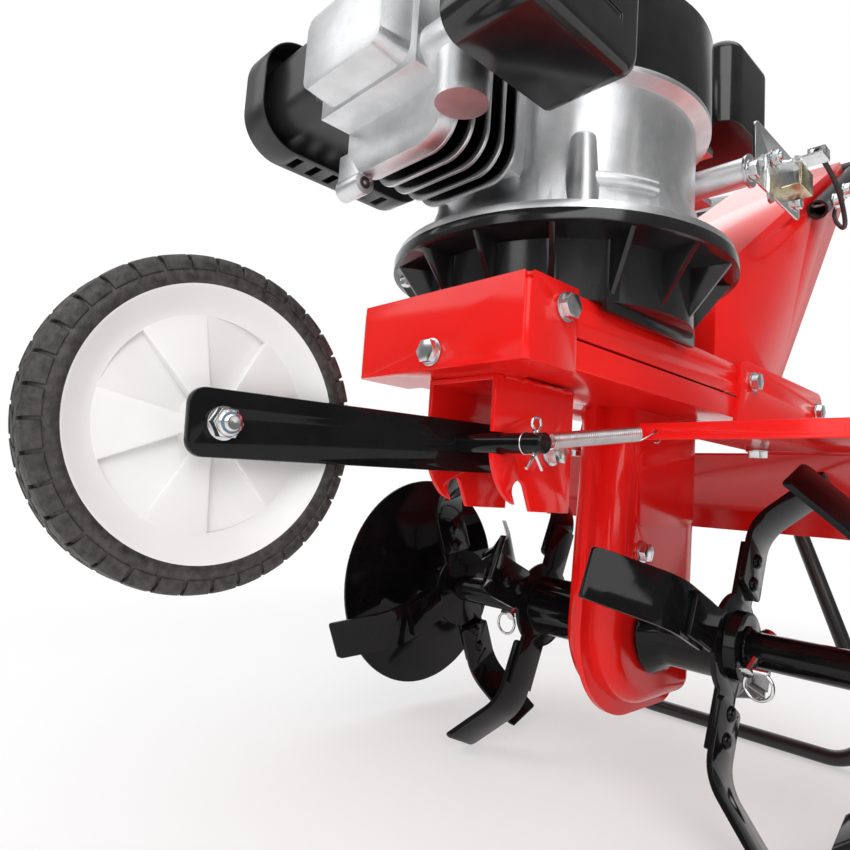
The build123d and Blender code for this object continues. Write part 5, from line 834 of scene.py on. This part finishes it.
cameraData.lens = cameraSettings["focalPixels"] / cameraSettings["pixels"] * cameraSettings["sensor"]
cameraData.sensor_width = cameraSettings["sensor"]
cameraData.shift_y = -cameraSettings["downPixels"] / cameraSettings["pixels"]
cameraData.clip_start = cameraSettings["clipStart"]
scene.camera = camera

lamps = {  # place, aim, size, watts
    "nearSoftbox": ((1.5, -1.6, 1.5), (0, -0.25, 0.35), (1.7, 1.7), 27),
    "frontSoftbox": ((-1.3, -1.9, 2.0), (0, -0.4, 0.35), (1.4, 1.4), 11),
    "topSoftbox": ((0.2, -0.2, 2.4), (0, -0.2, 0.3), (2.0, 2.0), 19),
    "rearSoftbox": ((-1.3, 1.5, 1.5), (0, 0, 0.4), (1.5, 1.5), 7),
    "frontStrip": ((0.14, -2.3, 0.92), (0, -0.3, 0.42), (0.45, 1.3), 4),
}
for name, (place, aim, size, power) in lamps.items():
    light = bpy.data.lights.new(name, "AREA")
    light.shape = "RECTANGLE"
    light.size, light.size_y = size
    light.energy = power
    holder = bpy.data.objects.new(name, light)
    scene.collection.objects.link(holder)
    holder.location = place
    holder.rotation_euler = (Vector(aim) - Vector(place)).to_track_quat("-Z", "Y").to_euler()


def seenRays(tree):  # 1 where the camera, a gloss or a clear piece looks at the studio
    path = tree.nodes.new("ShaderNodeLightPath")
    either = mathNode(tree, "MAXIMUM", path.outputs["Is Camera Ray"], path.outputs["Is Glossy Ray"])
    return mathNode(tree, "MAXIMUM", either, path.outputs["Is Transmission Ray"])


white = (1, 1, 1, 1)
roomSettings = {"fill": 0.5, "seen": 1.0, "backdropWay": (-0.73, 0.68, 0.0), "backdropSpan": (0.3, 0.85),
                "dimSide": 0.2}
world = bpy.data.worlds.new("studio")
scene.world = world
world.use_nodes = True
room = world.node_tree
sky = room.nodes["Background"]
sky.inputs["Color"].default_value = white
strength = rangeNode(room, seenRays(room), 0.0, 1.0, roomSettings["fill"], roomSettings["seen"])
heading = room.nodes.new("ShaderNodeTexCoord")
facing = room.nodes.new("ShaderNodeVectorMath")
facing.operation = "DOT_PRODUCT"
facing.inputs[1].default_value = roomSettings["backdropWay"]
room.links.new(heading.outputs["Generated"], facing.inputs[0])
# the white backdrop stands behind the machine, and only gloss sees the room's dim side
backdrop = rangeNode(room, facing.outputs["Value"], *roomSettings["backdropSpan"],
                     roomSettings["dimSide"], 1.0, "SMOOTHSTEP")
glossRay = room.nodes.new("ShaderNodeLightPath").outputs["Is Glossy Ray"]
gloss = rangeNode(room, glossRay, 0.0, 1.0, 1.0, backdrop)
room.links.new(mathNode(room, "MULTIPLY", strength, gloss), sky.inputs["Strength"])

floorSettings = {"size": 12, "height": -0.0005, "cloudScale": 3, "low": (0.93, 0.93, 0.93),
                 "high": (0.95, 0.95, 0.95), "rough": 0.8, "fadeSpan": (0.75, 1.3), "fade": (0.45, 1.0)}
clearSelection()
bpy.ops.mesh.primitive_plane_add(size=floorSettings["size"], location=(0, 0, floorSettings["height"]))
floor = bpy.context.object
floor.name = "studioFloor"
settle(floor)
floorFinish, floorTree, floorShader, floorPlace = startFinish("studioFloorFinish")
floorCloud = grain(floorTree, floorPlace, floorSettings["cloudScale"], grainDetail)
floorTint = tint(floorTree, floorCloud, floorSettings["low"], floorSettings["high"])
floorTree.links.new(floorTint.outputs["Color"], floorShader.inputs["Base Color"])
floorShader.inputs["Roughness"].default_value = floorSettings["rough"]
floorShader.inputs["Specular IOR Level"].default_value = 0.0
far = floorTree.nodes.new("ShaderNodeVectorMath")  # how far a floor point lies from the machine
far.operation = "LENGTH"
floorTree.links.new(floorPlace.outputs["Object"], far.inputs[0])
fade = rangeNode(floorTree, far.outputs["Value"], *floorSettings["fadeSpan"], *floorSettings["fade"],
                 "SMOOTHSTEP")
share = mathNode(floorTree, "MULTIPLY", fade, seenRays(floorTree))
glow = floorTree.nodes.new("ShaderNodeEmission")
glow.inputs["Color"].default_value = white
glow.inputs["Strength"].default_value = 1.0
blendFloor = floorTree.nodes.new("ShaderNodeMixShader")
floorTree.links.new(share, blendFloor.inputs["Fac"])
floorTree.links.new(floorShader.outputs["BSDF"], blendFloor.inputs[1])
floorTree.links.new(glow.outputs["Emission"], blendFloor.inputs[2])
floorTree.links.new(blendFloor.outputs["Shader"], floorTree.nodes["Material Output"].inputs["Surface"])
floor.data.materials.append(floorFinish)

scene.view_settings.view_transform = "Standard"
print("studio set")
